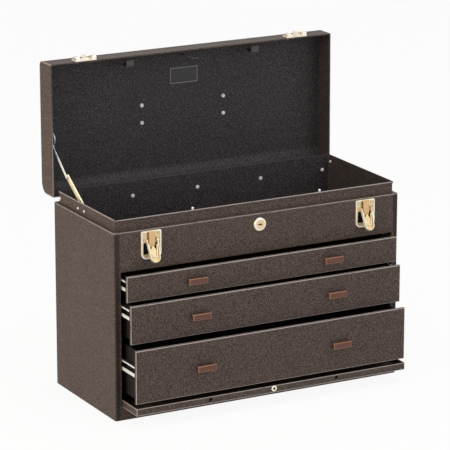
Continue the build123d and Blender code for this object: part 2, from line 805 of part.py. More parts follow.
def handle_rivets():
    rivets = []
    height = rivet_head_height
    for x, y in handle_rivet_points():
        low, high = lid_inner_top, lid_top + handle_plate
        inner = fillet(rod_z(rivet_head, low - height, low, x, y).edges().sort_by(Axis.Z)[0],
                       height * 0.6)
        outer = fillet(rod_z(rivet_head, high, high + height, x, y).edges().sort_by(Axis.Z)[-1],
                       height * 0.6)
        rivets.append(rod_z(rivet_shank, low - height / 2, high + height / 2, x, y) + inner + outer)
    return rivets


def handle_bar():
    """Bent rod: its ends turn in the brackets, its middle carries the grip."""
    z = lid_top + handle_rise
    end_x = handle_offset + handle_bracket_x / 2 + 4.0
    points = [(-end_x, 0, z), (-handle_arm_x, 0, z), (-handle_arm_x, handle_swing, z),
              (handle_arm_x, handle_swing, z), (handle_arm_x, 0, z), (end_x, 0, z)]
    path = FilletPolyline(*points, radius=2 * handle_rod)
    section = Plane(points[0], z_dir=(1, 0, 0)) * Circle(handle_rod)
    return sweep(section, path=path)


def handle_grip():
    """Moulded grip on the middle of the bar, a little swollen at its centre."""
    z = lid_top + handle_rise
    half = handle_grip_length / 2
    middle = Plane((0, handle_swing, z), x_dir=(0, 1, 0), z_dir=(1, 0, 0))
    full = SlotOverall(handle_grip_width, handle_grip_thickness)
    slim = SlotOverall(handle_grip_width * 0.82, handle_grip_thickness * 0.86)
    sections = [middle.offset(-half) * slim, middle * full, middle.offset(half) * slim]
    return loft(sections) - rod_x(handle_rod, -half - 1, half + 1, handle_swing, z)


# ================================================================ latches
def lever_pivot():
    return front_y - lever_pivot_out, latch_top - lever_pivot_drop


def latch_outline(shrink, z_offset=0.0):
    """Plate outline with round lower corners, seen from the front."""
    width = latch_width - 2 * shrink
    height = latch_height - 2 * shrink
    outline = Rectangle(width, height)
    low = outline.vertices().sort_by(Axis.Y)[:2]
    outline = fillet(low, latch_corner - shrink)
    high = outline.vertices().sort_by(Axis.Y)[-2:]
    outline = fillet(high, 2.2 - min(shrink, 1.6))
    return Plane.XZ * Pos(latch_offset, latch_top - latch_height / 2 + z_offset) * outline


def latch_base():
    """Right latch plate: raised border, window, centre tongue and lever ears."""
    back = front_y
    plate = Pos(0, back, 0) * extrude(latch_outline(0), amount=latch_plate)
    border = extrude(latch_outline(0), amount=latch_plate + latch_border_rise)
    border -= extrude(latch_outline(latch_border), amount=latch_plate + latch_border_rise + 1)
    base = plate + Pos(0, back, 0) * border
    base -= latch_window(window_half, window_low, window_low + window_height)
    x = latch_offset
    tongue_front = back - tongue_rise
    tongue_top = latch_top - tongue_drop
    tongue = block(x - tongue_half, x + tongue_half, tongue_front, tongue_front + tongue_sheet,
                   latch_top - tongue_length, tongue_top)
    base += fillet(tongue.edges().filter_by(Axis.Y).group_by(Axis.Z)[0], tongue_corner)
    base += block(x - tongue_half, x + tongue_half, tongue_front, back - latch_plate / 2,
                  tongue_top - tongue_sheet, tongue_top)
    pivot_y, pivot_z = lever_pivot()
    ear_in = lever_half_top + ear_gap
    for side in (-1, 1):
        x0, x1 = x + side * ear_in, x + side * (ear_in + ear_thickness)
        base += block(x0, x1, pivot_y, back - latch_plate / 2, pivot_z - ear_radius, pivot_z + ear_radius)
        base += rod_x(ear_radius, min(x0, x1), max(x0, x1), pivot_y, pivot_z)
        base -= rod_x(latch_pin_radius, x + side * (ear_in - ear_gap), x1 + side, pivot_y, pivot_z)
    for rivet_xy in latch_rivet_points():
        base -= rod_y(rivet_shank, back - 3, back + 1, *rivet_xy)
    return base


def latch_pins():
    """Right latch's two short pins, one in each ear, either side of the tongue."""
    pivot_y, pivot_z = lever_pivot()
    inner = lever_half_top - lever_sheet - latch_pin_inside
    outer = lever_half_top + ear_gap + ear_thickness
    return [rod_x(latch_pin_radius, latch_offset + side * inner, latch_offset + side * outer,
                  pivot_y, pivot_z) for side in (-1, 1)]


def lever_slope():
    """Taper of each side of the lever, per unit of its length."""
    return (lever_half_top - lever_half_tip) / (lever_length - lever_half_tip)


def lever_outline(shrink, over=0.0):
    """Tapered lever with a round tip, seen from the front, pivot at the origin."""
    half = lever_half_top + lever_slope() * over - shrink
    tip = lever_half_tip - shrink
    tip_z = lever_half_tip - lever_length
    outline = make_face(Polyline((-half, over), (half, over), (tip, tip_z), (-tip, tip_z), close=True))
    return outline + Pos(0, tip_z) * Circle(tip)


def latch_lever():
    """Right lever, modelled flat on its plate: two cheeks and a pointed spoon."""
    pivot_y, pivot_z = lever_pivot()
    x = latch_offset
    front = pivot_y - lever_depth / 2
    place = Pos(x, front, pivot_z) * Plane.XZ.location
    lever = place * extrude(lever_outline(0), amount=-lever_depth)
    for side in (-1, 1):
        x0, x1 = x + side * (lever_half_top - lever_sheet), x + side * lever_half_top
        lever += rod_x(lever_depth / 2, min(x0, x1), max(x0, x1), pivot_y, pivot_z)
    inner = place * Pos(0, 0, 1) * extrude(lever_outline(lever_sheet, 1.0), amount=-lever_depth - 2)
    half, tip, wide = lever_half_top, -lever_length, lever_half_tip - lever_length
    point = tip + spoon_height
    spoon = make_face(Polyline((-half, tip), (half, tip), (half, wide), (spoon_point_half, point),
                               (-spoon_point_half, point), (-half, wide), close=True))
    back = front + lever_depth
    spoon_place = Pos(x, back - lever_sheet, pivot_z) * Plane.XZ.location
    lever -= inner - spoon_place * extrude(spoon, amount=-lever_sheet)
    reach = lever_half_top + 1
    lever -= rod_x(latch_pin_radius + running_gap, x - reach, x + reach, pivot_y, pivot_z)
    return lever - rod_x(bail_radius + running_gap, x - reach, x + reach, pivot_y, pivot_z - bail_drop)


def bail_pin_half():
    """The bail's ends stop flush with the outside of the lever's cheeks."""
    return lever_half_top - lever_slope() * bail_drop - 0.2


def latch_bail():
    """Right wire bail, folded down between the lever's cheeks."""
    pivot_y, pivot_z = lever_pivot()
    top_z = pivot_z - bail_drop
    low_z = top_z - bail_length
    pin_half = bail_pin_half()
    top_half = pin_half - lever_sheet - bail_side_gap - bail_radius
    x = latch_offset
    points = [(x - pin_half, pivot_y, top_z), (x - top_half, pivot_y, top_z),
              (x - bail_half_end, pivot_y, low_z), (x + bail_half_end, pivot_y, low_z),
              (x + top_half, pivot_y, top_z), (x + pin_half, pivot_y, top_z)]
    path = FilletPolyline(*points, radius=1.0)
    return sweep(Plane(points[0], z_dir=(1, 0, 0)) * Circle(bail_radius), path=path)


def lid_catch():
    """Right keeper on the lid, modelled shut: plate, side blocks and a hook."""
    x = latch_offset
    z0 = lid_bottom + catch_rise
    z1 = z0 + catch_height
    half = catch_width / 2
    face = front_y - latch_plate
    root = face + latch_plate / 2
    keeper = block(x - half, x + half, face, front_y, z0, z1)
    keeper = fillet(keeper.edges().filter_by(Axis.Y), 2.0)
    for side in (-1, 1):
        inner, outer = x + side * (half - cheek_inset - cheek_width), x + side * (half - cheek_inset)
        cheek = block(inner, outer, face - cheek_reach, root, z0 + cheek_low, z1 - cheek_high)
        keeper += fillet(cheek.edges().filter_by(Axis.X).group_by(Axis.Y)[0], 2.0)
    hook_face = front_y - hook_out
    hook_low = shoulder_height - hook_drop
    hook_top = z0 + hook_rise + hook_sheet
    keeper += block(x - hook_half, x + hook_half, hook_face, root, z0 + hook_rise, hook_top)
    keeper += block(x - hook_half, x + hook_half, hook_face - hook_sheet, hook_face, hook_low, hook_top)
    curl_y = hook_face - hook_sheet / 2 - (curl_radius + curl_bore) / 2
    curl_z = hook_low + curl_centre_rise
    curl = rod_x(curl_radius, x - hook_half, x + hook_half, curl_y, curl_z)
    curl -= rod_x(curl_bore, x - hook_half - 1, x + hook_half + 1, curl_y, curl_z)
    curl -= block(x - through, x + through, curl_y - through, curl_y + through, curl_z, curl_z + through)
    keeper += curl
    for point_x, z in catch_rivet_points():
        if point_x > 0:
            keeper -= rod_y(rivet_shank, face - through, front_y + 1, point_x, z)
            keeper -= rod_y(rivet_head, face - through, face, point_x, z)
    return keeper


def latch_rivets():
    face = front_y - latch_plate
    return [rivet_y(x, z, face, front_y + sheet, head=latch_rivet_head) for x, z in latch_rivet_points()]


def catch_rivets():
    face = front_y - latch_plate
    return [rivet_y(x, z, face, front_y + 2 * sheet, head=catch_rivet_head)
            for x, z in catch_rivet_points()]


# ================================================================ lock
def lock_housing():
    """Body with a domed bezel, clamped in the header."""
    bezel = rod_y(bezel_radius, front_y - bezel_reach, front_y, 0, lock_z)
    bezel = fillet(bezel.edges().sort_by(Axis.Y)[0], bezel_reach * 0.8)
    body = rod_y(lock_body_radius, front_y - 0.5, cam_y - cam_gap, 0, lock_z)
    return bezel + body - rod_y(plug_radius + running_gap, front_y - 10, cam_y, 0, lock_z)


def lock_nut():
    """Ring nut behind the header."""
    inside = front_y + sheet
    nut = rod_y(lock_body_radius + 3.5, inside, inside + 3.0, 0, lock_z)
    return nut - rod_y(lock_body_radius, inside - 1, inside + 4, 0, lock_z)


def lock_plug():
    """Keyed plug that turns in the housing."""
    face = front_y - bezel_reach + 0.6
    plug = rod_y(plug_radius, face, cam_y, 0, lock_z)
    plug += rod_y(cam_neck, cam_y - 1, cam_y + cam_thickness, 0, lock_z)
    slot = block(-3.4, 3.4, face - 1, face + 4, lock_z - 0.6, lock_z + 0.6)
    slot += block(-3.4, -1.6, face - 1, face + 4, lock_z - 1.0, lock_z + 1.0)
    return plug - slot


def lock_cam():
    """Cam on the plug's end, upright while unlocked."""
    y0, y1 = cam_y, cam_y + cam_thickness
    cam = rod_y(5.0, y0, y1, 0, lock_z)
    cam += block(-cam_half, cam_half, y0, y1, lock_z, lock_z + cam_length)
    return cam - rod_y(cam_neck, y0 - 1, y1 + 1, 0, lock_z)


# ================================================================ locking pins
def panel_pin():
    """Right pin: stands over the rim and drops through the header's fold."""
    x = panel_pin_offset
    pin = rod_z(pin_radius, pin_bottom, pin_top, x, pin_y)
    pin = fillet(pin.edges().sort_by(Axis.Z)[-1], 1.2)
    collar_low = pin_guide_z + pin_guide_sheet + pin_stroke + pin_hole_gap
    return pin + rod_z(pin_collar, collar_low, collar_low + pin_collar_height, x, pin_y)


def pin_guide():
    """Right guide: an angle on the till's front wall."""
    x = panel_pin_offset
    z = pin_guide_z
    guide = block(x - pin_guide_half, x + pin_guide_half, pin_y - 2 * pin_radius, ledge_y,
                  z, z + pin_guide_sheet)
    guide += block(x - pin_guide_half, x + pin_guide_half, ledge_y - pin_guide_sheet, ledge_y,
                   z, z + pin_guide_height)
    return guide - rod_z(pin_radius + running_gap, z - 1, z + pin_guide_sheet + 1, x, pin_y)


# ================================================================ front panel
def front_panel():
    """Shallow pan, stowed face down: its top edge looks forward."""
    y0 = front_y - panel_proud
    top = panel_bottom + panel_thickness
    panel = tray(front_half, y0, y0 + panel_length, panel_bottom, top, sheet, 1.5)
    z = panel_bottom + panel_hole_rise
    for x in (-panel_pin_offset, panel_pin_offset):
        panel -= rod_y(panel_hole_radius, y0 - 1, y0 + 2 * sheet, x, z)
    return panel - rod_y(eyelet_tube, y0 - 1, y0 + 2 * sheet, 0, z)


def panel_eyelet():
    """Plated eyelet in the middle of the panel's edge."""
    y0 = front_y - panel_proud
    z = panel_bottom + panel_hole_rise
    ring = rod_y(eyelet_radius, y0 - 0.8, y0, 0, z)
    ring = fillet(ring.edges().sort_by(Axis.Y)[0], 0.5)
    ring += rod_y(eyelet_tube, y0 - 0.4, y0 + sheet, 0, z)
    ring += rod_y(eyelet_radius - 0.6, y0 + sheet, y0 + sheet + 0.6, 0, z)
    return ring - rod_y(eyelet_bore, y0 - 2, y0 + 4, 0, z)


def panel_guide():
    """Right guide: a shelf, a web beside the panel and a lip over its edge."""
    wall = half_width - sheet
    y0, y1 = front_y + rail_setback, back_y - 8.0
    shelf_top = panel_bottom - guide_gap
    lip_low = panel_bottom + panel_thickness + guide_gap
    inner, web = front_half - guide_overlap, front_half + guide_gap
    guide = block(wall - sheet, wall, y0, y1, shelf_top - sheet, lip_low + sheet)
    guide += block(inner, wall, y0, y1, shelf_top - sheet, shelf_top)
    guide += block(web, web + sheet, y0, y1, shelf_top - sheet, lip_low + sheet)
    guide += block(inner, web + sheet, y0, y1, lip_low, lip_low + sheet)
    return guide


# ================================================================ drawers
def drawer_face_y(n):
    return front_y - drawer_fronts[n]["proud"]


def drawer_top(n):
    return drawer_fronts[n]["bottom"] + drawer_fronts[n]["height"]


def drawer_box_depth():
    closed_face = front_y + closed_setback
    return back_y - 2 * sheet - box_rear_gap - closed_face - sheet


def pull_height_of(n):
    return drawer_fronts[n]["bottom"] + drawer_fronts[n]["height"] / 2


def drawer_front(n):
    """Front of a drawer: a face with a shallow fold all round."""
    face = drawer_face_y(n)
    low, high = drawer_fronts[n]["bottom"], drawer_top(n)
    front = block(-front_half, front_half, face, face + front_depth, low, high)
    front = fillet(front.edges().group_by(Axis.Y)[0], front_edge)
    front -= block(-front_half + sheet, front_half - sheet, face + sheet, face + front_depth + 1,
                   low + sheet, high - sheet)
    return front


def drawer_box(n):
    """Open steel box behind the front."""
    y0 = drawer_face_y(n) + sheet
    low = drawer_fronts[n]["bottom"] + box_over_bottom
    high = drawer_top(n) - box_under_top
    return tray(box_half, y0, y0 + drawer_box_depth(), low, high, sheet, box_corner)


def drawer_felt(n):
    y0 = drawer_face_y(n) + 2 * sheet + felt_gap
    y1 = drawer_face_y(n) + drawer_box_depth() - felt_gap
    low = drawer_fronts[n]["bottom"] + box_over_bottom + sheet
    half = box_half - sheet - felt_gap
    return block(-half, half, y0, y1, low, low + felt_thickness)


def drawer_pulls(n):
    """Both bar pulls: a bar on a narrower stem."""
    face = drawer_face_y(n)
    z = pull_height_of(n)
    pulls = []
    for side in (-1, 1):
        x = side * pull_offset
        bar = block(x - pull_length / 2, x + pull_length / 2, face - pull_reach,
                    face - pull_reach + pull_cap, z - pull_height / 2, z + pull_height / 2)
        bar = fillet(bar.edges(), 1.0)
        bar += block(x - pull_stem_length / 2, x + pull_stem_length / 2, face - pull_reach + 1,
                     face, z - pull_stem_height / 2, z + pull_stem_height / 2)
        pulls.append(bar)
    return pulls


def slide_base(n):
    """Lowest point of a drawer's slide."""
    return drawer_top(n) - drawer_fronts[n]["drop"] - slide_height


def drawer_slide(n):
    """Right slide channel on the drawer box, open towards the case wall."""
    z0 = slide_base(n)
    z1 = z0 + slide_height
    x0, x1 = box_half, box_half + slide_out
    y0 = drawer_face_y(n) + front_depth
    y1 = y0 + drawer_box_depth() - slide_end_gap
    channel = block(x0, x1, y0, y1, z0, z1)
    channel -= block(x0 + slide_sheet, x1 - slide_sheet, y0 - 1, y1 + 1, z0 + slide_sheet,
                     z1 - slide_sheet)
    channel -= block(x1 - 2 * slide_sheet, x1 + 1, y0 - 1, y1 + 1, z0 + slide_lower_lip,
                     z1 - slide_upper_lip)
    return channel


def case_rail(n):
    """Right rail on the case wall; its head runs inside the drawer's channel."""
    z0 = slide_base(n)
    wall = half_width - sheet
    y0 = front_y + rail_setback
    y1 = y0 + drawer_box_depth() - slide_end_gap
    head_x0 = box_half + slide_sheet + slide_gap
    head_x1 = box_half + slide_out - slide_sheet - slide_gap
    low, high = z0 + slide_sheet + slide_gap, z0 + slide_height - slide_sheet - slide_gap
    rail = block(head_x0, head_x1, y0, y1, low, high)
    rail += block(head_x1 - 1, wall, y0, y1, z0 + slide_lower_lip + slide_gap,
                  z0 + slide_height - slide_upper_lip - slide_gap)
    rail += block(wall - rail_flange, wall, y0, y1, z0 - 1.5, z0 + slide_height + 1.5)
    return rail


# ================================================================ lid stay, left
def stay_layers():
    """Near faces along X of the lid bracket's disc, the upper and the lower link."""
    pitch = stay_plate + stay_gap
    disc_x = stay_wall_x + pitch
    return disc_x, disc_x + pitch, disc_x + 2 * pitch


def stay_elbow():
    """Elbow of the open stay: (y, z), from the two link lengths."""
    head = opened_point(stay_shut_head)
    dy, dz = head[0] - stay_foot[0], head[1] - stay_foot[1]
    span = hypot(dy, dz)
    upper = span + stay_slack - stay_lower_length
    bend = acos((stay_lower_length ** 2 + span ** 2 - upper ** 2) / (2 * stay_lower_length * span))
    angle = atan2(dz, dy) - bend
    return (stay_foot[0] + stay_lower_length * cos(angle),
            stay_foot[1] + stay_lower_length * sin(angle))


def stay_case_bracket():
    """Plate on the rim's left wall with the stay's lower pivot."""
    plate_x = stay_wall_x + stay_plate
    y, z = stay_foot
    plate = block(stay_wall_x, plate_x, y - stay_bracket_front, stay_rivets[1][0] + stay_bracket_edge,
                  z - stay_bracket_edge, stay_rivets[0][1] + stay_bracket_edge)
    plate = fillet(plate.edges().filter_by(Axis.X), stay_bracket_corner)
    for rivet_y_pos, rivet_z in stay_rivets:
        plate -= rod_x(rivet_shank, stay_wall_x - 1, plate_x + 1, rivet_y_pos, rivet_z)
    web_x = stay_layers()[2] + stay_channel_depth
    head_x = web_x + stay_gap
    pivot = rod_x(stay_spacer_radius, plate_x, web_x - stay_sheet - stay_gap, y, z)
    pivot += rod_x(stay_pin_radius, plate_x, head_x + stay_head_height / 2, y, z)
    return plate + pivot + rod_x(stay_head_radius, head_x, head_x + stay_head_height, y, z)


def stay_case_rivets():
    plate_x = stay_wall_x + stay_plate
    rivets = []
    for y, z in stay_rivets:
        low = -rim_half_x
        height = rivet_head_height
        outer = rod_x(rim_rivet_head, low - height, low, y, z)
        outer = fillet(outer.edges().sort_by(Axis.X)[0], height * 0.6)
        rivets.append(rod_x(rivet_shank, low - height / 2, plate_x, y, z) + outer)
    return rivets


def stay_lower_link():
    """Channel link from the case pivot to the elbow."""
    channel_x = stay_layers()[2]
    web_x = channel_x + stay_channel_depth
    elbow = stay_elbow()
    outer = link_shape(stay_foot, elbow, stay_channel_height, channel_x, web_x)
    inner = link_shape(stay_foot, elbow, stay_channel_height - 2 * stay_sheet,
                       channel_x - 1, web_x - stay_sheet)
    link = outer - inner
    link -= rod_x(stay_pin_radius + running_gap, channel_x - 1, web_x + 1, *stay_foot)
    link += rod_x(stay_pin_radius, channel_x, web_x, *elbow)
    head = rod_x(stay_head_radius, web_x, web_x + stay_head_height, *elbow)
    return link + fillet(head.edges().sort_by(Axis.X)[-1], stay_head_height / 2)


def stay_upper_link():
    """Flat link with an eye at each end, from the lid's bracket to the elbow."""
    strip_x = stay_layers()[1]
    face_x = strip_x + stay_plate
    head = opened_point(stay_shut_head)
    elbow = stay_elbow()
    link = link_shape(head, elbow, stay_strip_width, strip_x, face_x)
    for end in (head, elbow):
        link += rod_x(stay_eye_radius, strip_x, face_x, *end)
    return link - rod_x(stay_pin_radius + running_gap, strip_x - 1, face_x + 1, *head)


def stay_lid_bracket():
    """Round bracket on the lid's left end, modelled shut.

    Its boss passes over the rim, and its disc hangs inside the rim.
    """
    disc_x, strip_x, channel_x = stay_layers()
    face_x = disc_x + stay_plate
    disc = rod_x(stay_disc_radius, disc_x, face_x, *stay_disc_centre)
    disc += link_shape(stay_disc_centre, stay_shut_head, stay_arm_width, disc_x, face_x)
    boss_z = rim_top + stay_rim_gap + stay_boss_radius
    disc += rod_x(stay_boss_radius, sheet - half_width, face_x, stay_disc_centre[0], boss_z)
    disc += rod_x(stay_pin_radius, disc_x, channel_x + stay_head_height / 2, *stay_shut_head)
    return disc + rod_x(stay_head_radius, channel_x, channel_x + stay_head_height, *stay_shut_head)


# ================================================================ write every node
def write_case():
    save("case_body", case_body())
    save("case_back", case_back())
    save("case_bottom", case_bottom())
    save("top_rim", top_rim())
    save("till_pan", till_pan())
    save("till_felt", till_felt())
    save("hinge_case_leaf", hinge_case_leaf())
    save("hinge_pin", hinge_pin())
    save("case_rivets", *hinge_case_rivets(), *rim_rivets(), *stay_case_rivets(), *latch_rivets())
    save("pin_guides", *both_sides(pin_guide()))
    save("panel_guides", *both_sides(panel_guide()))
    save("stay_case_bracket", stay_case_bracket())
    save("lock_housing", lock_housing())
    save("lock_nut", lock_nut())
    right, left = both_sides(latch_base())
    save("latch_base_left", left)
    save("latch_base_right", right)
    save("latch_pins", *[pin for right in latch_pins() for pin in both_sides(right)])
    save("case_rails", *[rail for n in drawer_fronts for rail in both_sides(case_rail(n))])


def write_lid():
    save("lid_shell", opened(lid_shell()))
    right, left = both_sides(lid_end())
    save("lid_end_right", opened(right))
    save("lid_end_left", opened(left))
    save("hinge_lid_leaf", opened(hinge_lid_leaf()))
    lid_rivets = hinge_lid_rivets() + catch_rivets() + handle_rivets()
    save("lid_rivets", *[opened(rivet) for rivet in lid_rivets])
    right, left = both_sides(lid_catch())
    save("lid_catch_right", opened(right))
    save("lid_catch_left", opened(left))
    save("lid_strikers", *[opened(striker) for striker in both_sides(lid_striker())])
    save("lid_pads", *[opened(pad) for pad in both_sides(lid_pad())])
    save("lid_lock_strike", opened(lid_lock_strike()))
    save("label_plate", opened(label_plate()))
    save("stay_lid_bracket", opened(stay_lid_bracket()))
    save("handle_brackets", *[opened(bracket) for bracket in both_sides(handle_bracket())])
    save("handle_bar", opened(handle_bar()))
    save("handle_grip", opened(handle_grip()))


def write_moving_parts():
    right, left = both_sides(kicked(latch_lever()))
    save("latch_lever_right", right)
    save("latch_lever_left", left)
    right, left = both_sides(kicked(latch_bail()))
    save("latch_bail_right", right)
    save("latch_bail_left", left)
    save("lock_plug", lock_plug())
    save("lock_cam", lock_cam())
    right, left = both_sides(panel_pin())
    save("panel_pin_right", right)
    save("panel_pin_left", left)
    save("front_panel", front_panel())
    save("panel_eyelet", panel_eyelet())
    save("stay_lower_link", stay_lower_link())
    save("stay_upper_link", stay_upper_link())
    for n in drawer_fronts:
        save(f"drawer_{n}_front", drawer_front(n))
        save(f"drawer_{n}_box", drawer_box(n))
        save(f"drawer_{n}_felt", drawer_felt(n))
        save(f"drawer_{n}_pulls", *drawer_pulls(n))
        save(f"drawer_{n}_slides", *both_sides(drawer_slide(n)))


os.makedirs("parts", exist_ok=True)
write_case()
write_lid()
write_moving_parts()
print("stay elbow", [round(value, 3) for value in stay_elbow()])
print("stay head", [round(value, 3) for value in opened_point(stay_shut_head)])
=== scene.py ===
# %% [markdown]
# # A machinist tool chest
#
# A folded-steel chest in brown wrinkle enamel: a case with three drawers, a
# till under a hinged lid, bright draw latches and a key lock. Its solids come
# ready made from the frame, at their real size and place. This lesson dresses
# them: it gives each metal, paint and felt its finish, adds the small things
# that solids leave out, and sets the chest in a plain white studio.

# %% Load the frame
import math

import bmesh
import bpy
from mathutils import Matrix, Vector


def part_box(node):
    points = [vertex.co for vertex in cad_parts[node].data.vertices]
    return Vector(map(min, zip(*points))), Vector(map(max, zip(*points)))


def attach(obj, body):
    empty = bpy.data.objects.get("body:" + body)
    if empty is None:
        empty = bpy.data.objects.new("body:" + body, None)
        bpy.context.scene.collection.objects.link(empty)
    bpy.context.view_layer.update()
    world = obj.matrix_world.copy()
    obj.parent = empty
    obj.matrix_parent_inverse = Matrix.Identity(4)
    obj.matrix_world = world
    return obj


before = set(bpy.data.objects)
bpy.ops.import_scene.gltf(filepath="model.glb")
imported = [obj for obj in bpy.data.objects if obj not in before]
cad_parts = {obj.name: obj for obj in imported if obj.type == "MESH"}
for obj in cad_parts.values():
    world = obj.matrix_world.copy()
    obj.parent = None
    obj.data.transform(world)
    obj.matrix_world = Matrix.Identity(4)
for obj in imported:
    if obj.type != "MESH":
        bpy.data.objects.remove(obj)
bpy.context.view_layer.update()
mm = 0.001

# %% [markdown]
# ## The camera
#
# The photograph was taken from far away with a long lens, a little above the
# chest and to its left. A camera is easiest to place by the point it looks at,
# two angles and a distance. Its three axes then fill a rotation matrix: right,
# up, and back, because a camera in Blender looks along its own -Z.

# %% Camera
look_at = Vector((-3.5, 0.0, 258.6)) * mm
camera_azimuth = math.radians(-28.41)
camera_elevation = math.radians(15.58)
camera_distance = 4658 * mm
focal_pixels = 2898
photo_pixels = 450
sensor_width = 36.0


def new_object(name, data):
    """An object in the scene that holds this mesh, lamp or camera."""
    made = bpy.data.objects.new(name, data)
    bpy.context.scene.collection.objects.link(made)
    return made


def photo_camera():
    """The camera at the photograph's place and angle."""
    flat = math.cos(camera_elevation)
    back = Vector((math.sin(camera_azimuth) * flat, -math.cos(camera_azimuth) * flat,
                   math.sin(camera_elevation)))
    right = Vector((math.cos(camera_azimuth), math.sin(camera_azimuth), 0.0))
    up = back.cross(right)
    data = bpy.data.cameras.new("photo_camera")
    data.sensor_width = sensor_width
    data.lens = focal_pixels / photo_pixels * sensor_width
    data.clip_end = 50.0
    camera = new_object("photo_camera", data)
    turn = Matrix((right, up, back)).transposed().to_4x4()
    camera.matrix_world = Matrix.Translation(look_at + back * camera_distance) @ turn
    bpy.context.scene.camera = camera
    return camera


print("camera lens:", round(photo_camera().data.lens, 1), "mm")

# %% [markdown]
# ## Shader arithmetic
#
# Materials are sums and products of patterns. Wiring Math nodes by hand hides
# the formula, so a small class wraps a socket and turns Python's operators
# into Math nodes. Everything that isn't plain arithmetic comes from one
# method, which takes a node's type, its settings and its sockets.

# %% Sockets that do arithmetic
class Value:
    """A number in a shader: operators on it add Math nodes."""

    def __init__(self, finish, socket):
        self.finish = finish
        self.socket = socket

    def math(self, operation, *others):
        sockets = dict(enumerate((self,) + others))
        return self.finish.node("Math", {"operation": operation}, sockets)

    def __add__(self, other):
        return self.math("ADD", other)

    def __mul__(self, other):
        return self.math("MULTIPLY", other)

    def __sub__(self, other):
        return self.math("SUBTRACT", other)

    def __rsub__(self, other):
        return self.finish.node("Math", {"operation": "SUBTRACT"}, {0: other, 1: self})

    def __abs__(self):
        return self.math("ABSOLUTE")

    __radd__ = __add__
    __rmul__ = __mul__

    def root(self):
        return self.math("SQRT")

    def least(self, other):
        return self.math("MINIMUM", other)

    def most(self, other):
        return self.math("MAXIMUM", other)

    def step(self, low, high):
        """0 below low, 1 above high, and a smooth rise between."""
        sockets = {"Value": self, "From Min": low, "From Max": high}
        return self.finish.node("MapRange", {"interpolation_type": "SMOOTHSTEP"}, sockets)


# %% One method for every other node
class Finish:
    """A material under construction."""

    def __init__(self, name):
        self.material = bpy.data.materials.new(name)
        self.material.use_nodes = True
        self.tree = self.material.node_tree
        self.tree.nodes.clear()
        self.places = self.tree.nodes.new("ShaderNodeTexCoord")

    def node(self, kind, settings=None, sockets=None, out=0):
        """Add a node: settings first, then the values or links of its sockets."""
        made = self.tree.nodes.new("ShaderNode" + kind)
        for name, value in (settings or {}).items():
            setattr(made, name, value)
        for name, value in (sockets or {}).items():
            if isinstance(value, Value):
                self.tree.links.new(value.socket, made.inputs[name])
            else:
                made.inputs[name].default_value = value
        return Value(self, made.outputs[out])

    def place(self):
        return Value(self, self.places.outputs["Object"])

    def facing(self):
        return Value(self, self.places.outputs["Normal"])

    def axes(self, vector):
        split = self.tree.nodes.new("ShaderNodeSeparateXYZ")
        self.tree.links.new(vector.socket, split.inputs[0])
        return [Value(self, split.outputs[i]) for i in range(3)]

    def noise(self, scale, detail=2.0, rough=0.5, vector=None, distortion=0.0):
        sockets = {"Vector": vector or self.place(), "Scale": scale, "Detail": detail,
                   "Roughness": rough, "Distortion": distortion}
        return self.node("TexNoise", {}, sockets)

    def mix(self, amount, one, other):
        """One colour where amount is 0, the other where it is 1."""
        settings = {"data_type": "RGBA"}
        return self.node("Mix", settings, {0: amount, 6: one, 7: other}, out=2)

    def bump(self, strength, distance, height):
        """Relief that only the light sees."""
        sockets = {"Strength": strength, "Distance": distance, "Height": height}
        return self.node("Bump", {}, sockets)

    def surface(self, **sockets):
        """The Principled shader, and the material's output."""
        named = {name.replace("_", " "): value for name, value in sockets.items()}
        shader = self.node("BsdfPrincipled", {}, named)
        self.node_output(shader)
        return self.material

    def node_output(self, shader):
        output = self.tree.nodes.new("ShaderNodeOutputMaterial")
        self.tree.links.new(shader.socket, output.inputs["Surface"])


def colour(red, green, blue):
    """A colour as a screen shows it, 0 to 255, made linear for the shader."""
    return tuple((c / 255 / 12.92) if c < 11 else ((c / 255 + 0.055) / 1.055) ** 2.4
                 for c in (red, green, blue)) + (1.0,)


def put_on(material, *nodes):
    """Give the frame's nodes their finish."""
    for name in nodes:
        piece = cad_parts[name]
        piece.data.materials.clear()
        piece.data.materials.append(material)
    print(material.name, "on", len(nodes), "nodes")


# %% [markdown]
# ## Brown wrinkle enamel
#
# The chest is sprayed with an enamel that shrivels as it bakes: a skin of fine
# crinkles, each about a millimetre wide, with a mottle twice as coarse that
# shows from across a room. Noise makes both without ever repeating. A painted
# highlight lightens the paint in patches along sharp folds, so a mask measures
# how near a point lies to two faces of a box at once, which is what a fold's
# edge is.

# %% Wrinkle enamel
enamel_brown = colour(76, 64, 58)
enamel_light = colour(104, 91, 85)
enamel_dark = colour(46, 38, 36)
# The pale colour of the painted highlight along the edges of folds.
highlight_colour = colour(192, 185, 184)
black_brown = colour(56, 52, 55)
black_light = colour(80, 76, 79)
black_dark = colour(26, 24, 26)
wrinkle_scale = 1100.0
wrinkle_height = 0.25 * mm
mottle_scale = 560.0
cloud_scale = 9.0
grain_turn = (0.6, 0.4, 0.9)  # keeps flat faces off the planes of the noise
edge_width = 0.9 * mm
edge_reach = 1.0 * mm  # a mask fades out this far outside its box
# Size of the patches of the painted highlight along edges, and its strength.
highlight_patch_scale = 40.0
highlight_strength = 0.12


def crinkles(finish):
    """Height of the shrivelled skin, 0 to 1."""
    bend = finish.noise(wrinkle_scale * 0.4, 1.0)
    fine = finish.noise(wrinkle_scale, 3.0, 0.6, distortion=1.4)
    folds = abs(fine - 0.5) * 2.0
    return (1.0 - folds) * 0.7 + bend * 0.3


def box_gaps(finish, low, high):
    """Distances from a point to the nearer face of a box along X, Y and Z."""
    x, y, z = finish.axes(finish.place())
    return [(axis - lo).least(hi - axis) for axis, lo, hi in zip((x, y, z), low, high)]


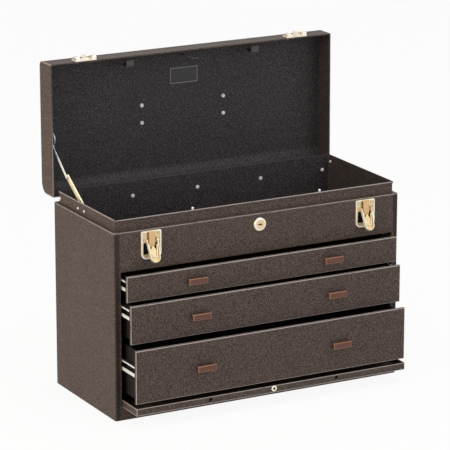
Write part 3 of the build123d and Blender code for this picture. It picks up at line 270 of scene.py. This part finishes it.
def edge_mask(finish, low, high, width=edge_width):
    """1 along the edges of a box with these corners, 0 on its faces and outside it."""
    gaps = box_gaps(finish, low, high)
    smallest = gaps[0].least(gaps[1]).least(gaps[2])
    largest = gaps[0].most(gaps[1]).most(gaps[2])
    second = gaps[0] + gaps[1] + gaps[2] - smallest - largest
    inside = smallest.step(-edge_reach, -0.5 * edge_reach)
    return (1.0 - second.step(width * 0.5, width * 1.6)) * inside


def mottle(finish, base=enamel_brown, dark=enamel_dark, light=enamel_light):
    """A base colour with the blotches and the grain of a baked wrinkle coat."""
    cloud = finish.noise(cloud_scale, 2.0)
    turned = finish.node("Mapping", {}, {"Vector": finish.place(), "Rotation": grain_turn})
    grain = finish.noise(mottle_scale, 2.0, 0.6, vector=turned)
    toned = finish.mix(cloud.step(0.3, 0.8) * 0.2, base, dark)
    lighter = finish.mix(grain.step(0.5, 0.64), toned, light)
    return finish.mix(1.0 - grain.step(0.36, 0.5), lighter, dark)


def black_mottle(finish):
    """The nearly black coat inside the lid and the till."""
    return mottle(finish, black_brown, black_dark, black_light)


def coat(finish, paint):
    """Finish a wrinkle enamel of this colour: satin, with the crinkles as bump."""
    height = crinkles(finish)
    bump = finish.bump(0.4, wrinkle_height, height)
    return finish.surface(Base_Color=paint, Roughness=height * 0.12 + 0.46, Normal=bump,
                          Specular_IOR_Level=0.2)


def edge_highlight(finish, low, high, strength):
    """Painted highlight along a box's edges, in patches."""
    return edge_mask(finish, low, high) * finish.noise(highlight_patch_scale).step(0.05, 0.45) * strength


def enamel(name, node=None, strength=highlight_strength):
    """Wrinkle enamel on one folded piece, with a painted highlight along its edges."""
    finish = Finish(name)
    paint = mottle(finish)
    if node:
        low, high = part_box(node)
        paint = finish.mix(edge_highlight(finish, low, high, strength), paint, highlight_colour)
    return coat(finish, paint)


put_on(enamel("enamel_sheet"), "case_back", "case_bottom", "hinge_case_leaf", "hinge_lid_leaf")
put_on(enamel("enamel_panel", "front_panel", 0.7), "front_panel")

# %% [markdown]
# ## Painted shade and black returns
#
# Two places read darker than the broad faces: the narrow upright folds beside
# the drawers, which get painted shade, and the returns of the drawer
# fronts, which stay inside the case most of the time and are nearly black.
# Both are picked out by how far a point lies from a box's sides.

# %% Case and drawer fronts
post_width = 8.5 * mm
skin = 0.6 * mm


def case_enamel():
    """Brown, with painted shade nearly black on the front of the two posts."""
    finish = Finish("enamel_case")
    low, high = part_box("case_body")
    gap_x, gap_y, _ = box_gaps(finish, low, high)
    # Painted shade on the front of the two posts.
    post_shade = (1.0 - gap_x.step(post_width - skin, post_width)) * (1.0 - gap_y.step(skin, 2 * skin))
    shaded = finish.mix(post_shade * 0.75, mottle(finish), black_dark)
    # Painted highlight along the case's edges.
    highlight_mask = edge_highlight(finish, low, high, highlight_strength)
    return coat(finish, finish.mix(highlight_mask, shaded, highlight_colour))


def front_enamel(name):
    """A drawer's front: brown with a painted highlight along its edges, nearly black on its
    returned sides.
    """
    finish = Finish("enamel_" + name)
    low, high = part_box(name)
    gap_x, _, _ = box_gaps(finish, low, high)
    _, y, _ = finish.axes(finish.place())
    side = (1.0 - gap_x.step(skin * 0.4, skin * 0.8)) * (y - low[1]).step(skin, 2.5 * skin)
    # Painted highlight along the front's edges.
    edges = finish.mix(edge_highlight(finish, low, high, 0.8), mottle(finish), highlight_colour)
    return coat(finish, finish.mix(side, edges, black_dark))


put_on(case_enamel(), "case_body")
for n in (1, 2, 3):
    put_on(front_enamel(f"drawer_{n}_front"), f"drawer_{n}_front")

# %% [markdown]
# ## The lid's two faces
#
# Outside, the lid wears the same brown as the case. Inside it is nearly black.
# Both faces belong to one folded sheet a millimetre thick, so the paint has to
# tell them apart. On a hollow shell the outer skin faces away from the middle
# and the inner skin faces towards it: the sign of a dot product says which.

# %% Lid enamel, dark inside
face_blur = 0.4 * mm


def box_middle(name):
    low, high = (Vector(corner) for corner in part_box(name))
    return (low + high) / 2


def inside_mask(finish, middle):
    """1 on faces that look towards the middle of a hollow piece."""
    away = finish.node("VectorMath", {"operation": "SUBTRACT"}, {0: finish.place(), 1: middle})
    dot = finish.node("VectorMath", {"operation": "DOT_PRODUCT"}, {0: away, 1: finish.facing()},
                      out="Value")
    return 1.0 - dot.step(-face_blur, face_blur)


def lid_enamel(name, node):
    finish = Finish(name)
    inner = inside_mask(finish, box_middle("lid_shell"))
    dark = black_mottle(finish)
    # Painted highlight along the edges of each lid piece.
    highlight_mask = edge_mask(finish, *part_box(node)) * 0.5
    brown = finish.mix(highlight_mask, mottle(finish), highlight_colour)
    return coat(finish, finish.mix(inner, brown, dark))


for name in ("lid_shell", "lid_end_left", "lid_end_right"):
    put_on(lid_enamel("enamel_" + name, name), name)

# %% [markdown]
# ## The rim
#
# The rim is one piece with the shoulder: brown outside, black towards the
# till. Here the walls are upright and thin, so a box a little smaller than
# the rim's outline tells inside from outside. A painted highlight runs in
# patches along the top of the folded edge and along the shoulder's edge.

# %% Rim enamel
rim_low, rim_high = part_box("till_pan")
rim_hem = 1.3 * mm
rim_edge = 1.0 * mm


def rim_enamel():
    finish = Finish("enamel_rim")
    gap_x, gap_y, _ = box_gaps(finish, rim_low, rim_high)
    inner = gap_x.least(gap_y).step(0.4 * mm, 0.6 * mm)
    out = Vector((rim_hem, rim_hem, 0.0))
    top = Vector((0.0, 0.0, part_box("top_rim")[1][2] - rim_high[2]))
    hem_highlight = edge_mask(finish, rim_low - out, rim_high + out + top, rim_edge)
    shoulder = edge_mask(finish, *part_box("top_rim"), rim_edge)
    # Patches of painted highlight along the top of the hem and the shoulder.
    painted_highlight = finish.noise(highlight_patch_scale).step(0.1, 0.5) * 0.6
    brown = finish.mix(hem_highlight.most(shoulder) * painted_highlight, mottle(finish), highlight_colour)
    dark = black_mottle(finish)
    return coat(finish, finish.mix(inner, brown, dark))


put_on(rim_enamel(), "top_rim")

# %% Black enamel for what lies inside
def black_enamel(name, base=black_brown, dark=black_dark, light=black_light):
    finish = Finish(name)
    return coat(finish, mottle(finish, base, dark, light))


put_on(black_enamel("enamel_black"), "till_pan", "lid_strikers", "lid_lock_strike")
put_on(black_enamel("enamel_drawer", colour(38, 34, 35), colour(28, 25, 26), colour(50, 45, 46)),
       "drawer_1_box", "drawer_2_box", "drawer_3_box")

# %% [markdown]
# ## Bright fittings
#
# Latches, lock, rivets and keepers are plated. Plate isn't a perfect mirror:
# it is rolled and polished in one direction, and fingers dull it. The streaks
# are a noise stretched along one axis, and every metal shares one function.
# Where one pressing needs more than one tone, a tint function repaints
# the tone by where a point lies; several tints are painted shade or painted reflection.

# %% Plated metal
along_x = (0.06, 1.0, 1.0)  # streaks run the way that the noise is stretched
along_z = (1.0, 1.0, 0.08)
streak_scale = 2600.0
streak_height = 0.05 * mm
marks_scale = 120.0
tone_blur = 0.1 * mm


def plate(name, bright, dull, rough=0.3, streak=along_z, metal=0.7, tint=None):
    """Plated steel with faint polishing streaks and cloudy handling marks."""
    finish = Finish(name)
    stretch = finish.node("Mapping", {}, {"Vector": finish.place(), "Scale": streak})
    lines = finish.noise(streak_scale, 2.0, 0.6, vector=stretch)
    marks = finish.noise(marks_scale, 3.0, 0.6)
    tone = finish.mix(marks.step(0.4, 0.72) * 0.5, bright, dull)
    if tint:
        tone = tint(finish, tone)
    roughness = lines * 0.14 + marks * 0.16 + (rough - 0.12)
    bump = finish.bump(0.12, streak_height, lines)
    return finish.surface(Base_Color=tone, Metallic=metal, Roughness=roughness, Normal=bump)


cream = colour(246, 240, 226)
straw = colour(222, 204, 160)
tan = colour(216, 178, 130)
# Black for painted shade: the key slot, the stay channel's line and the rivets' holes.
shade_black = colour(24, 20, 16)
warm_nickel = plate("warm_nickel", cream, colour(222, 206, 176))
zinc = plate("bright_zinc", colour(232, 235, 240), colour(196, 201, 210), 0.42, along_x, 0.3)
straw_zinc = plate("straw_zinc", colour(236, 226, 192), colour(206, 190, 140), 0.36, metal=0.5)
put_on(warm_nickel, "latch_pins", "panel_eyelet", "lid_catch_left", "lid_catch_right")
put_on(straw_zinc, "latch_bail_left", "latch_bail_right")
put_on(zinc, "case_rails", "panel_guides", "pin_guides", "hinge_pin", "panel_pin_left",
       "panel_pin_right", "stay_upper_link", "stay_case_bracket", "stay_lid_bracket",
       "lock_nut", "lock_cam", "handle_bar", "handle_brackets")

# %% Tones of the slides and the rivets
lip_skin = 1.0 * mm
lip_blur = 0.05 * mm
case_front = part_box("case_body")[0][1]


def slide_shade_tones(node):
    """Bright lips; the rest of the channel is painted dark as painted shade."""
    _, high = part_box(node)

    def tones(finish, tone):
        x, _, _ = finish.axes(finish.place())
        lip = (abs(x) - (high[0] - lip_skin)).step(-lip_blur, lip_blur)
        return finish.mix(lip, colour(50, 48, 50), tone)
    return tones


for n in (1, 2, 3):
    node = f"drawer_{n}_slides"
    put_on(plate(node + "_zinc", colour(236, 238, 242), colour(206, 210, 216), 0.42,
                 along_x, 0.15, slide_shade_tones(node)), node)


def head_tones(finish, tone):
    """Rivets on the case's front yellow like the latches; the others stay white."""
    _, y, _ = finish.axes(finish.place())
    return finish.mix((y - case_front).step(-tone_blur, tone_blur), straw, tone)


head_metal = plate("rivet_head", colour(206, 206, 208), colour(170, 170, 174), 0.4, metal=0.3,
                   tint=head_tones)
put_on(head_metal, "case_rivets", "lid_rivets")

# %% [markdown]
# ## The latches
#
# A latch plate is one pressing: a flat field, a rolled border and a tongue
# that covers the pivot. The field is painted straw and the tongue tan, darker
# than the cream border: painted reflection, strongest on the tongue. The
# lever's spoon is painted straw inside a bright edge in the same way.

# %% Latch tones
field_height = 1.35 * mm
tongue_height = 3.2 * mm
tongue_blur = 0.3 * mm
lever_edge = 1.3 * mm
spoon_taper = 0.05
spoon_tip = (1.0 * mm, 2.4 * mm)  # straw starts between these heights above the tip


def latch_reflection_tones(finish, tone):
    """Painted reflection: field straw, border cream and tongue tan, by height off the case."""
    _, y, _ = finish.axes(finish.place())
    height = case_front - y
    field = 1.0 - height.step(field_height - tone_blur, field_height)
    tongue = height.step(tongue_height, tongue_height + tongue_blur)
    return finish.mix(tongue, finish.mix(field, tone, straw), tan)


def lever_reflection_tones(node):
    """Painted reflection: straw over the spoon's face and cream along its two sides."""
    low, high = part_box(node)
    middle, half = (low[0] + high[0]) / 2, (high[0] - low[0]) / 2

    def tones(finish, tone):
        x, _, z = finish.axes(finish.place())
        taper = (z - low[2]) * spoon_taper
        face = 1.0 - (abs(x - middle) + lever_edge - taper).step(half * 0.72, half * 0.86)
        above_tip = (z - low[2]).step(*spoon_tip)
        return finish.mix(face * above_tip, tone, straw)
    return tones


for side in ("left", "right"):
    put_on(plate("latch_plate_" + side, cream, colour(226, 214, 190), tint=latch_reflection_tones),
           "latch_base_" + side)
    node = "latch_lever_" + side
    put_on(plate(node + "_plate", cream, straw, 0.4, metal=0.5, tint=lever_reflection_tones(node)), node)

# %% [markdown]
# ## The lock
#
# Seen from the front a lock is rings: a bright bezel, a groove drawn as a tan
# ring, and the plug with its key slot, painted black as painted shade.
# Distance from the lock's axis draws the groove, and two half-widths draw the
# slot, so both turn with the plug.

# %% Lock tones
lock_low, lock_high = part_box("lock_housing")
lock_x = (lock_low[0] + lock_high[0]) / 2
lock_z = (lock_low[2] + lock_high[2]) / 2
groove_radius = 6.6 * mm
groove_width = 1.0 * mm
key_half_length = 3.4 * mm
key_half_height = 1.2 * mm


def from_lock_axis(finish):
    x, _, z = finish.axes(finish.place())
    return x - lock_x, z - lock_z


def bezel_tones(finish, tone):
    x, z = from_lock_axis(finish)
    radius = (x * x + z * z).root()
    groove = 1.0 - abs(radius - groove_radius).step(groove_width * 0.5, groove_width)
    return finish.mix(groove, tone, tan)


def key_slot_shade_tones(finish, tone):
    x, z = from_lock_axis(finish)
    length = 1.0 - abs(x).step(key_half_length - 0.4 * mm, key_half_length)
    height = 1.0 - abs(z).step(key_half_height - 0.3 * mm, key_half_height)
    # Painted shade: the key slot is painted black.
    return finish.mix(length * height, tone, shade_black)


put_on(plate("lock_bezel", cream, colour(232, 222, 200), tint=bezel_tones), "lock_housing")
put_on(plate("lock_plug_plate", straw, tan, 0.34, tint=key_slot_shade_tones), "lock_plug")

# %% [markdown]
# ## The lid stay
#
# The upper link is a flat bright strip. The lower one is a folded channel, and
# a dark line of painted shade runs down its hollow side between two bright walls.

# %% Channel tones
stay_low, stay_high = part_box("stay_lower_link")
channel_wall = 1.0 * mm


def channel_shade_tones(finish, tone):
    """Painted shade: a dark line down the middle of the channel, between the two eyes."""
    _, y, z = finish.axes(finish.place())
    rise, run = stay_high[2] - stay_low[2], stay_high[1] - stay_low[1]
    length = math.hypot(rise, run)
    across = abs((y - (stay_low[1] + run / 2)) * (rise / length)
                 - (z - (stay_low[2] + rise / 2)) * (run / length))
    line = 1.0 - across.step(channel_wall * 0.5, channel_wall)
    return finish.mix(line * 0.8, tone, shade_black)


put_on(plate("stay_channel", colour(240, 232, 204), colour(214, 200, 156), 0.36, metal=0.5,
             tint=channel_shade_tones), "stay_lower_link")

# %% [markdown]
# ## Rolled rivet heads
#
# The rivets are tubular: their ends are rolled back into a small ring round a
# hole. The solids have plain heads, so each gets its ring, and a flat dark disc
# inside it as painted shade for the hole. The heads are found in the frame as
# the separate islands of the rivets' mesh, and a point stands on each with the
# direction in which that head faces. Geometry Nodes then turn a ring to that
# direction at each point, which is less work than placing dozens of rings by
# hand and stays right if the rivets move.

# %% Where the heads are
ring_tube = 0.6 * mm
ring_share = 0.66    # of the smallest head's radius
ring_lift = 0.4      # of the tube's radius: the rest is sunk in the head
ring_sides = 20
tube_sides = 8
hole_sides = 16
head_least = 1.5 * mm
end_depth = 0.02 * mm
weld = 0.001 * mm


def islands(node):
    """The separate solids of a node, each as the list of its corners."""
    mesh = bmesh.new()
    mesh.from_mesh(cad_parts[node].data)
    bmesh.ops.remove_doubles(mesh, verts=mesh.verts, dist=weld)
    left = set(mesh.verts)
    found = []
    while left:
        reached, edge = set(), {left.pop()}
        while edge:
            reached |= edge
            edge = {e.other_vert(v) for v in edge for e in v.link_edges} - reached
        left -= reached
        found.append([v.co.copy() for v in reached])
    mesh.free()
    return found


def rivet_ends(corners):
    """Both ends of a rivet along the axis it is round about: place, direction, radius."""
    low = Vector([min(c[i] for c in corners) for i in range(3)])
    high = Vector([max(c[i] for c in corners) for i in range(3)])
    size = high - low
    pairs = {i: abs(size[(i + 1) % 3] - size[(i + 2) % 3]) for i in range(3)}
    axis = min(pairs, key=pairs.get)
    middle = (low + high) / 2
    ends = []
    for end, sign in ((low[axis], -1.0), (high[axis], 1.0)):
        rim = [c for c in corners if abs(c[axis] - end) < end_depth]
        radius = max((abs(c[(axis + 1) % 3] - middle[(axis + 1) % 3]) for c in rim), default=0.0)
        place, out = middle.copy(), Vector((0.0, 0.0, 0.0))
        place[axis], out[axis] = end, sign
        ends.append((place, out, radius))
    return ends


for node in ("case_rivets", "lid_rivets"):
    found = islands(node)
    print(node, "solids:", len(found), "ends:", [round(e[2] / mm, 2) for e in rivet_ends(found[0])])

# %% Ring tree
def ring_tree():
    """Points with an out direction in, rings out."""
    tree = bpy.data.node_groups.new("rolled_rings", "GeometryNodeTree")
    face = tree.interface
    face.new_socket("Geometry", in_out="INPUT", socket_type="NodeSocketGeometry")
    radius = face.new_socket("Ring Radius", in_out="INPUT", socket_type="NodeSocketFloat")
    tube = face.new_socket("Tube Radius", in_out="INPUT", socket_type="NodeSocketFloat")
    metal = face.new_socket("Metal", in_out="INPUT", socket_type="NodeSocketMaterial")
    hollow = face.new_socket("Hole Shade", in_out="INPUT", socket_type="NodeSocketMaterial")
    face.new_socket("Geometry", in_out="OUTPUT", socket_type="NodeSocketGeometry")

    def add(kind, **values):
        made = tree.nodes.new(kind)
        for name, value in values.items():
            setattr(made, name, value)
        return made

    given, result = add("NodeGroupInput"), add("NodeGroupOutput")
    circle = add("GeometryNodeCurvePrimitiveCircle")
    section = add("GeometryNodeCurvePrimitiveCircle")
    circle.inputs["Resolution"].default_value = ring_sides
    section.inputs["Resolution"].default_value = tube_sides
    sweep = add("GeometryNodeCurveToMesh")
    out = add("GeometryNodeInputNamedAttribute", data_type="FLOAT_VECTOR")
    out.inputs["Name"].default_value = "out"
    aim = add("FunctionNodeAlignRotationToVector", axis="Z")
    place = add("GeometryNodeInstanceOnPoints")
    real = add("GeometryNodeRealizeInstances")
    smooth = add("GeometryNodeSetShadeSmooth")
    dress, hole_shade_disc = add("GeometryNodeSetMaterial"), add("GeometryNodeSetMaterial")
    # A flat disc in each ring, in the dark material: painted shade for the rivet's hole.
    floor = add("GeometryNodeMeshCircle", fill_type="NGON")
    floor.inputs["Vertices"].default_value = hole_sides
    join = add("GeometryNodeJoinGeometry")
    for source, target in (
            (given.outputs["Ring Radius"], circle.inputs["Radius"]),
            (given.outputs["Tube Radius"], section.inputs["Radius"]),
            (circle.outputs["Curve"], sweep.inputs["Curve"]),
            (section.outputs["Curve"], sweep.inputs["Profile Curve"]),
            (given.outputs["Geometry"], place.inputs["Points"]),
            (sweep.outputs["Mesh"], dress.inputs["Geometry"]),
            (given.outputs["Metal"], dress.inputs["Material"]),
            (given.outputs["Ring Radius"], floor.inputs["Radius"]),
            (floor.outputs["Mesh"], hole_shade_disc.inputs["Geometry"]),
            (given.outputs["Hole Shade"], hole_shade_disc.inputs["Material"]),
            (dress.outputs["Geometry"], join.inputs["Geometry"]),
            (hole_shade_disc.outputs["Geometry"], join.inputs["Geometry"]),
            (join.outputs["Geometry"], place.inputs["Instance"]),
            (out.outputs["Attribute"], aim.inputs["Vector"]),
            (aim.outputs["Rotation"], place.inputs["Rotation"]),
            (place.outputs["Instances"], real.inputs["Geometry"]),
            (real.outputs["Geometry"], smooth.inputs["Geometry"]),
            (smooth.outputs["Geometry"], result.inputs["Geometry"])):
        tree.links.new(source, target)
    return tree, [socket.identifier for socket in (radius, tube, metal, hollow)]


rings, ring_inputs = ring_tree()
ring_metal = plate("ring_bright", colour(250, 250, 250), colour(226, 228, 232), 0.35, metal=0.15)
# Dark material of the disc in each ring: painted shade for the rivet's hole.
ring_hole_shade = plate("ring_hole_shade", colour(46, 44, 46), shade_black, 0.5, metal=0.1)
print("ring tree nodes:", len(rings.nodes))


# %% Rings on every head
def rolled_rings(name, node, body):
    """One mesh of rings for the rivet heads of a node."""
    heads = [end for solid in islands(node) for end in rivet_ends(solid) if end[2] > head_least]
    ring_radius = min(radius for _, _, radius in heads) * ring_share
    points = bpy.data.meshes.new(name + "_points")
    lift = ring_tube * ring_lift
    points.from_pydata([place + out * lift for place, out, _ in heads], [], [])
    outs = points.attributes.new("out", "FLOAT_VECTOR", "POINT")
    for item, (_, out, _) in zip(outs.data, heads):
        item.vector = out
    maker = new_object(name + "_maker", points)
    modifier = maker.modifiers.new("rings", "NODES")
    modifier.node_group = rings
    for key, value in zip(ring_inputs, (ring_radius, ring_tube, ring_metal, ring_hole_shade)):
        modifier[key] = value
    ready = maker.evaluated_get(bpy.context.evaluated_depsgraph_get())
    mesh = bpy.data.meshes.new_from_object(ready)
    bpy.data.objects.remove(maker)
    piece = new_object(name, mesh)
    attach(piece, body)
    print(name, "rings:", len(heads), "radius mm:", round(ring_radius / mm, 2),
          "faces:", len(mesh.polygons))


rolled_rings("case_rivet_rings", "case_rivets", "case")
rolled_rings("lid_rivet_rings", "lid_rivets", "lid")

# %% [markdown]
# ## Pulls, pads, felt, handle and label
#
# The smaller finishes. The pulls are a red-brown moulding whose corners are
# painted paler as a painted highlight. Felt is a pile of short fibres, which a fine noise imitates.

# %% Pull finish
pull_length = 32.5 * mm
pull_cap = 5.0 * mm
pull_edge = 0.8 * mm
cap_blur = 1.0 * mm
pull_relief = 0.05 * mm


def pull_highlight_edges(finish, node):
    """Painted highlight mask: 1 along the edges of the front bars of a drawer's two pulls."""
    low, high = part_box(node)
    size = Vector((pull_length, pull_cap, high[2] - low[2]))
    _, y, _ = finish.axes(finish.place())
    front = 1.0 - (y - low[1]).step(pull_cap, pull_cap + cap_blur)
    corners = [Vector((x, low[1], low[2])) for x in (low[0], high[0] - pull_length)]
    left, right = (edge_mask(finish, corner, corner + size, pull_edge) for corner in corners)
    return left.most(right) * front


def pull_finish(n):
    node = f"drawer_{n}_pulls"
    finish = Finish(node + "_brown")
    cloud = finish.noise(420.0, 3.0, 0.6)
    tone = finish.mix(cloud.step(0.35, 0.7), colour(100, 56, 40), colour(78, 42, 31))
    # Painted highlight along the pulls' edges.
    painted_highlight = finish.mix(pull_highlight_edges(finish, node) * 0.55, tone, colour(186, 142, 116))
    bump = finish.bump(0.1, pull_relief, cloud)
    return finish.surface(Base_Color=painted_highlight, Roughness=cloud * 0.15 + 0.3, Normal=bump)


for n in (1, 2, 3):
    put_on(pull_finish(n), f"drawer_{n}_pulls")

# %% Rubber, felt, moulding and label
def soft_finish(name, tone, speck, scale, rough, bump_height):
    """A matt finish with a fine speckle: rubber, felt or a grained moulding."""
    finish = Finish(name)
    fibres = finish.noise(scale, 4.0, 0.7)
    shade = finish.mix(fibres.step(0.4, 0.65), tone, speck)
    bump = finish.bump(0.5, bump_height, fibres)
    return finish.surface(Base_Color=shade, Roughness=fibres * 0.08 + rough, Normal=bump)


put_on(soft_finish("pad_rubber", colour(74, 71, 72), colour(58, 56, 57), 500.0, 0.7, 0.1 * mm),
       "lid_pads")
put_on(soft_finish("brown_felt", colour(58, 46, 38), colour(44, 34, 28), 1400.0, 0.9, 0.4 * mm),
       "till_felt", "drawer_1_felt", "drawer_2_felt", "drawer_3_felt")
put_on(soft_finish("grip_moulding", colour(50, 42, 38), colour(44, 37, 33), 500.0, 0.5, 0.1 * mm),
       "handle_grip")

# %% [markdown]
# ## The blank label
#
# A thin dark plate with a fine pale line round it and nothing inside. The line
# is where the distance to the nearest edge is about a millimetre and a half.

# %% Label
line_inset = 1.6 * mm
line_half = 0.45 * mm


def label_finish():
    finish = Finish("label_black")
    low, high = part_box("label_plate")
    gap_x, _, gap_z = box_gaps(finish, low, high)
    line = 1.0 - abs(gap_x.least(gap_z) - line_inset).step(line_half * 0.6, line_half * 1.4)
    grain = finish.noise(300.0, 2.0)
    dark = finish.mix(grain, colour(20, 20, 21), colour(32, 32, 34))
    shade = finish.mix(line * 0.7, dark, colour(150, 150, 152))
    return finish.surface(Base_Color=shade, Roughness=grain * 0.1 + 0.3)


put_on(label_finish(), "label_plate")

# %% [markdown]
# ## The studio
#
# The photograph has a seamless white ground and no visible shadow. A large
# floor that the camera sees as white gives that, while it still takes a soft
# shadow. Three broad lamps light the chest: one from the left, one from the
# front and one overhead.

# %% White floor
floor_half = 6.0
floor_drop = 0.4 * mm
floor_glow = 0.92


def seen_rays(finish):
    """1 for rays that the camera, a reflection or glass sees directly."""
    paths = finish.tree.nodes.new("ShaderNodeLightPath")
    kinds = ("Is Camera Ray", "Is Glossy Ray", "Is Transmission Ray")
    camera, glossy, glass = (Value(finish, paths.outputs[kind]) for kind in kinds)
    return (camera + glossy + glass).least(1.0)


def studio_floor():
    """White to the camera and in reflections, matt to the lamps."""
    mesh = bpy.data.meshes.new("floor")
    corners = [(x * floor_half, y * floor_half, -floor_drop)
               for x, y in ((-1, -1), (1, -1), (1, 1), (-1, 1))]
    mesh.from_pydata(corners, [], [(0, 1, 2, 3)])
    floor = new_object("floor", mesh)
    finish = Finish("floor_white")
    matt = finish.node("BsdfDiffuse", {}, {"Color": (0.85, 0.85, 0.85, 1.0)})
    white = finish.node("Emission", {}, {"Color": (1.0, 1.0, 1.0, 1.0), "Strength": 1.0})
    shown = seen_rays(finish) * floor_glow
    finish.node_output(finish.node("MixShader", {}, {0: shown, 1: matt, 2: white}))
    mesh.materials.append(finish.material)
    return floor


print("floor:", studio_floor().name)

# %% World and lamps
world_light = 0.55
lamp_aim = Vector((0.0, 0.0, 0.2))


def studio_world():
    """White where a ray sees it directly, and dimmer as a light."""
    world = bpy.data.worlds.new("studio")
    bpy.context.scene.world = world
    world.use_nodes = True
    background = world.node_tree.nodes["Background"]
    paths = world.node_tree.nodes.new("ShaderNodeLightPath")
    seen = paths.outputs["Is Camera Ray"]
    for kind in ("Is Glossy Ray", "Is Transmission Ray"):
        either = world.node_tree.nodes.new("ShaderNodeMath")
        either.operation = "MAXIMUM"
        world.node_tree.links.new(seen, either.inputs[0])
        world.node_tree.links.new(paths.outputs[kind], either.inputs[1])
        seen = either.outputs[0]
    level = world.node_tree.nodes.new("ShaderNodeMapRange")
    level.inputs["To Min"].default_value = world_light
    level.inputs["To Max"].default_value = 1.0
    world.node_tree.links.new(seen, level.inputs["Value"])
    world.node_tree.links.new(level.outputs[0], background.inputs["Strength"])
    background.inputs["Color"].default_value = (1.0, 1.0, 1.0, 1.0)


def lamp(name, place, size, power, tint):
    """A square soft lamp that points at the chest."""
    data = bpy.data.lights.new(name, "AREA")
    data.size = size
    data.energy = power
    data.color = tint
    light = new_object(name, data)
    light.location = place
    light.rotation_euler = (lamp_aim - Vector(place)).to_track_quat("-Z", "Y").to_euler()


studio_world()
lamp("left_lamp", (-2.6, -0.6, 1.0), 1.4, 36.0, (1.0, 0.76, 0.5))
lamp("front_lamp", (0.8, -2.8, 1.4), 1.6, 12.5, (1.0, 0.98, 0.98))
lamp("top_lamp", (0.2, -0.4, 2.6), 1.6, 22.0, (1.0, 0.99, 0.98))
bpy.context.scene.view_settings.view_transform = "Standard"
print("lamps:", len(bpy.data.lights))
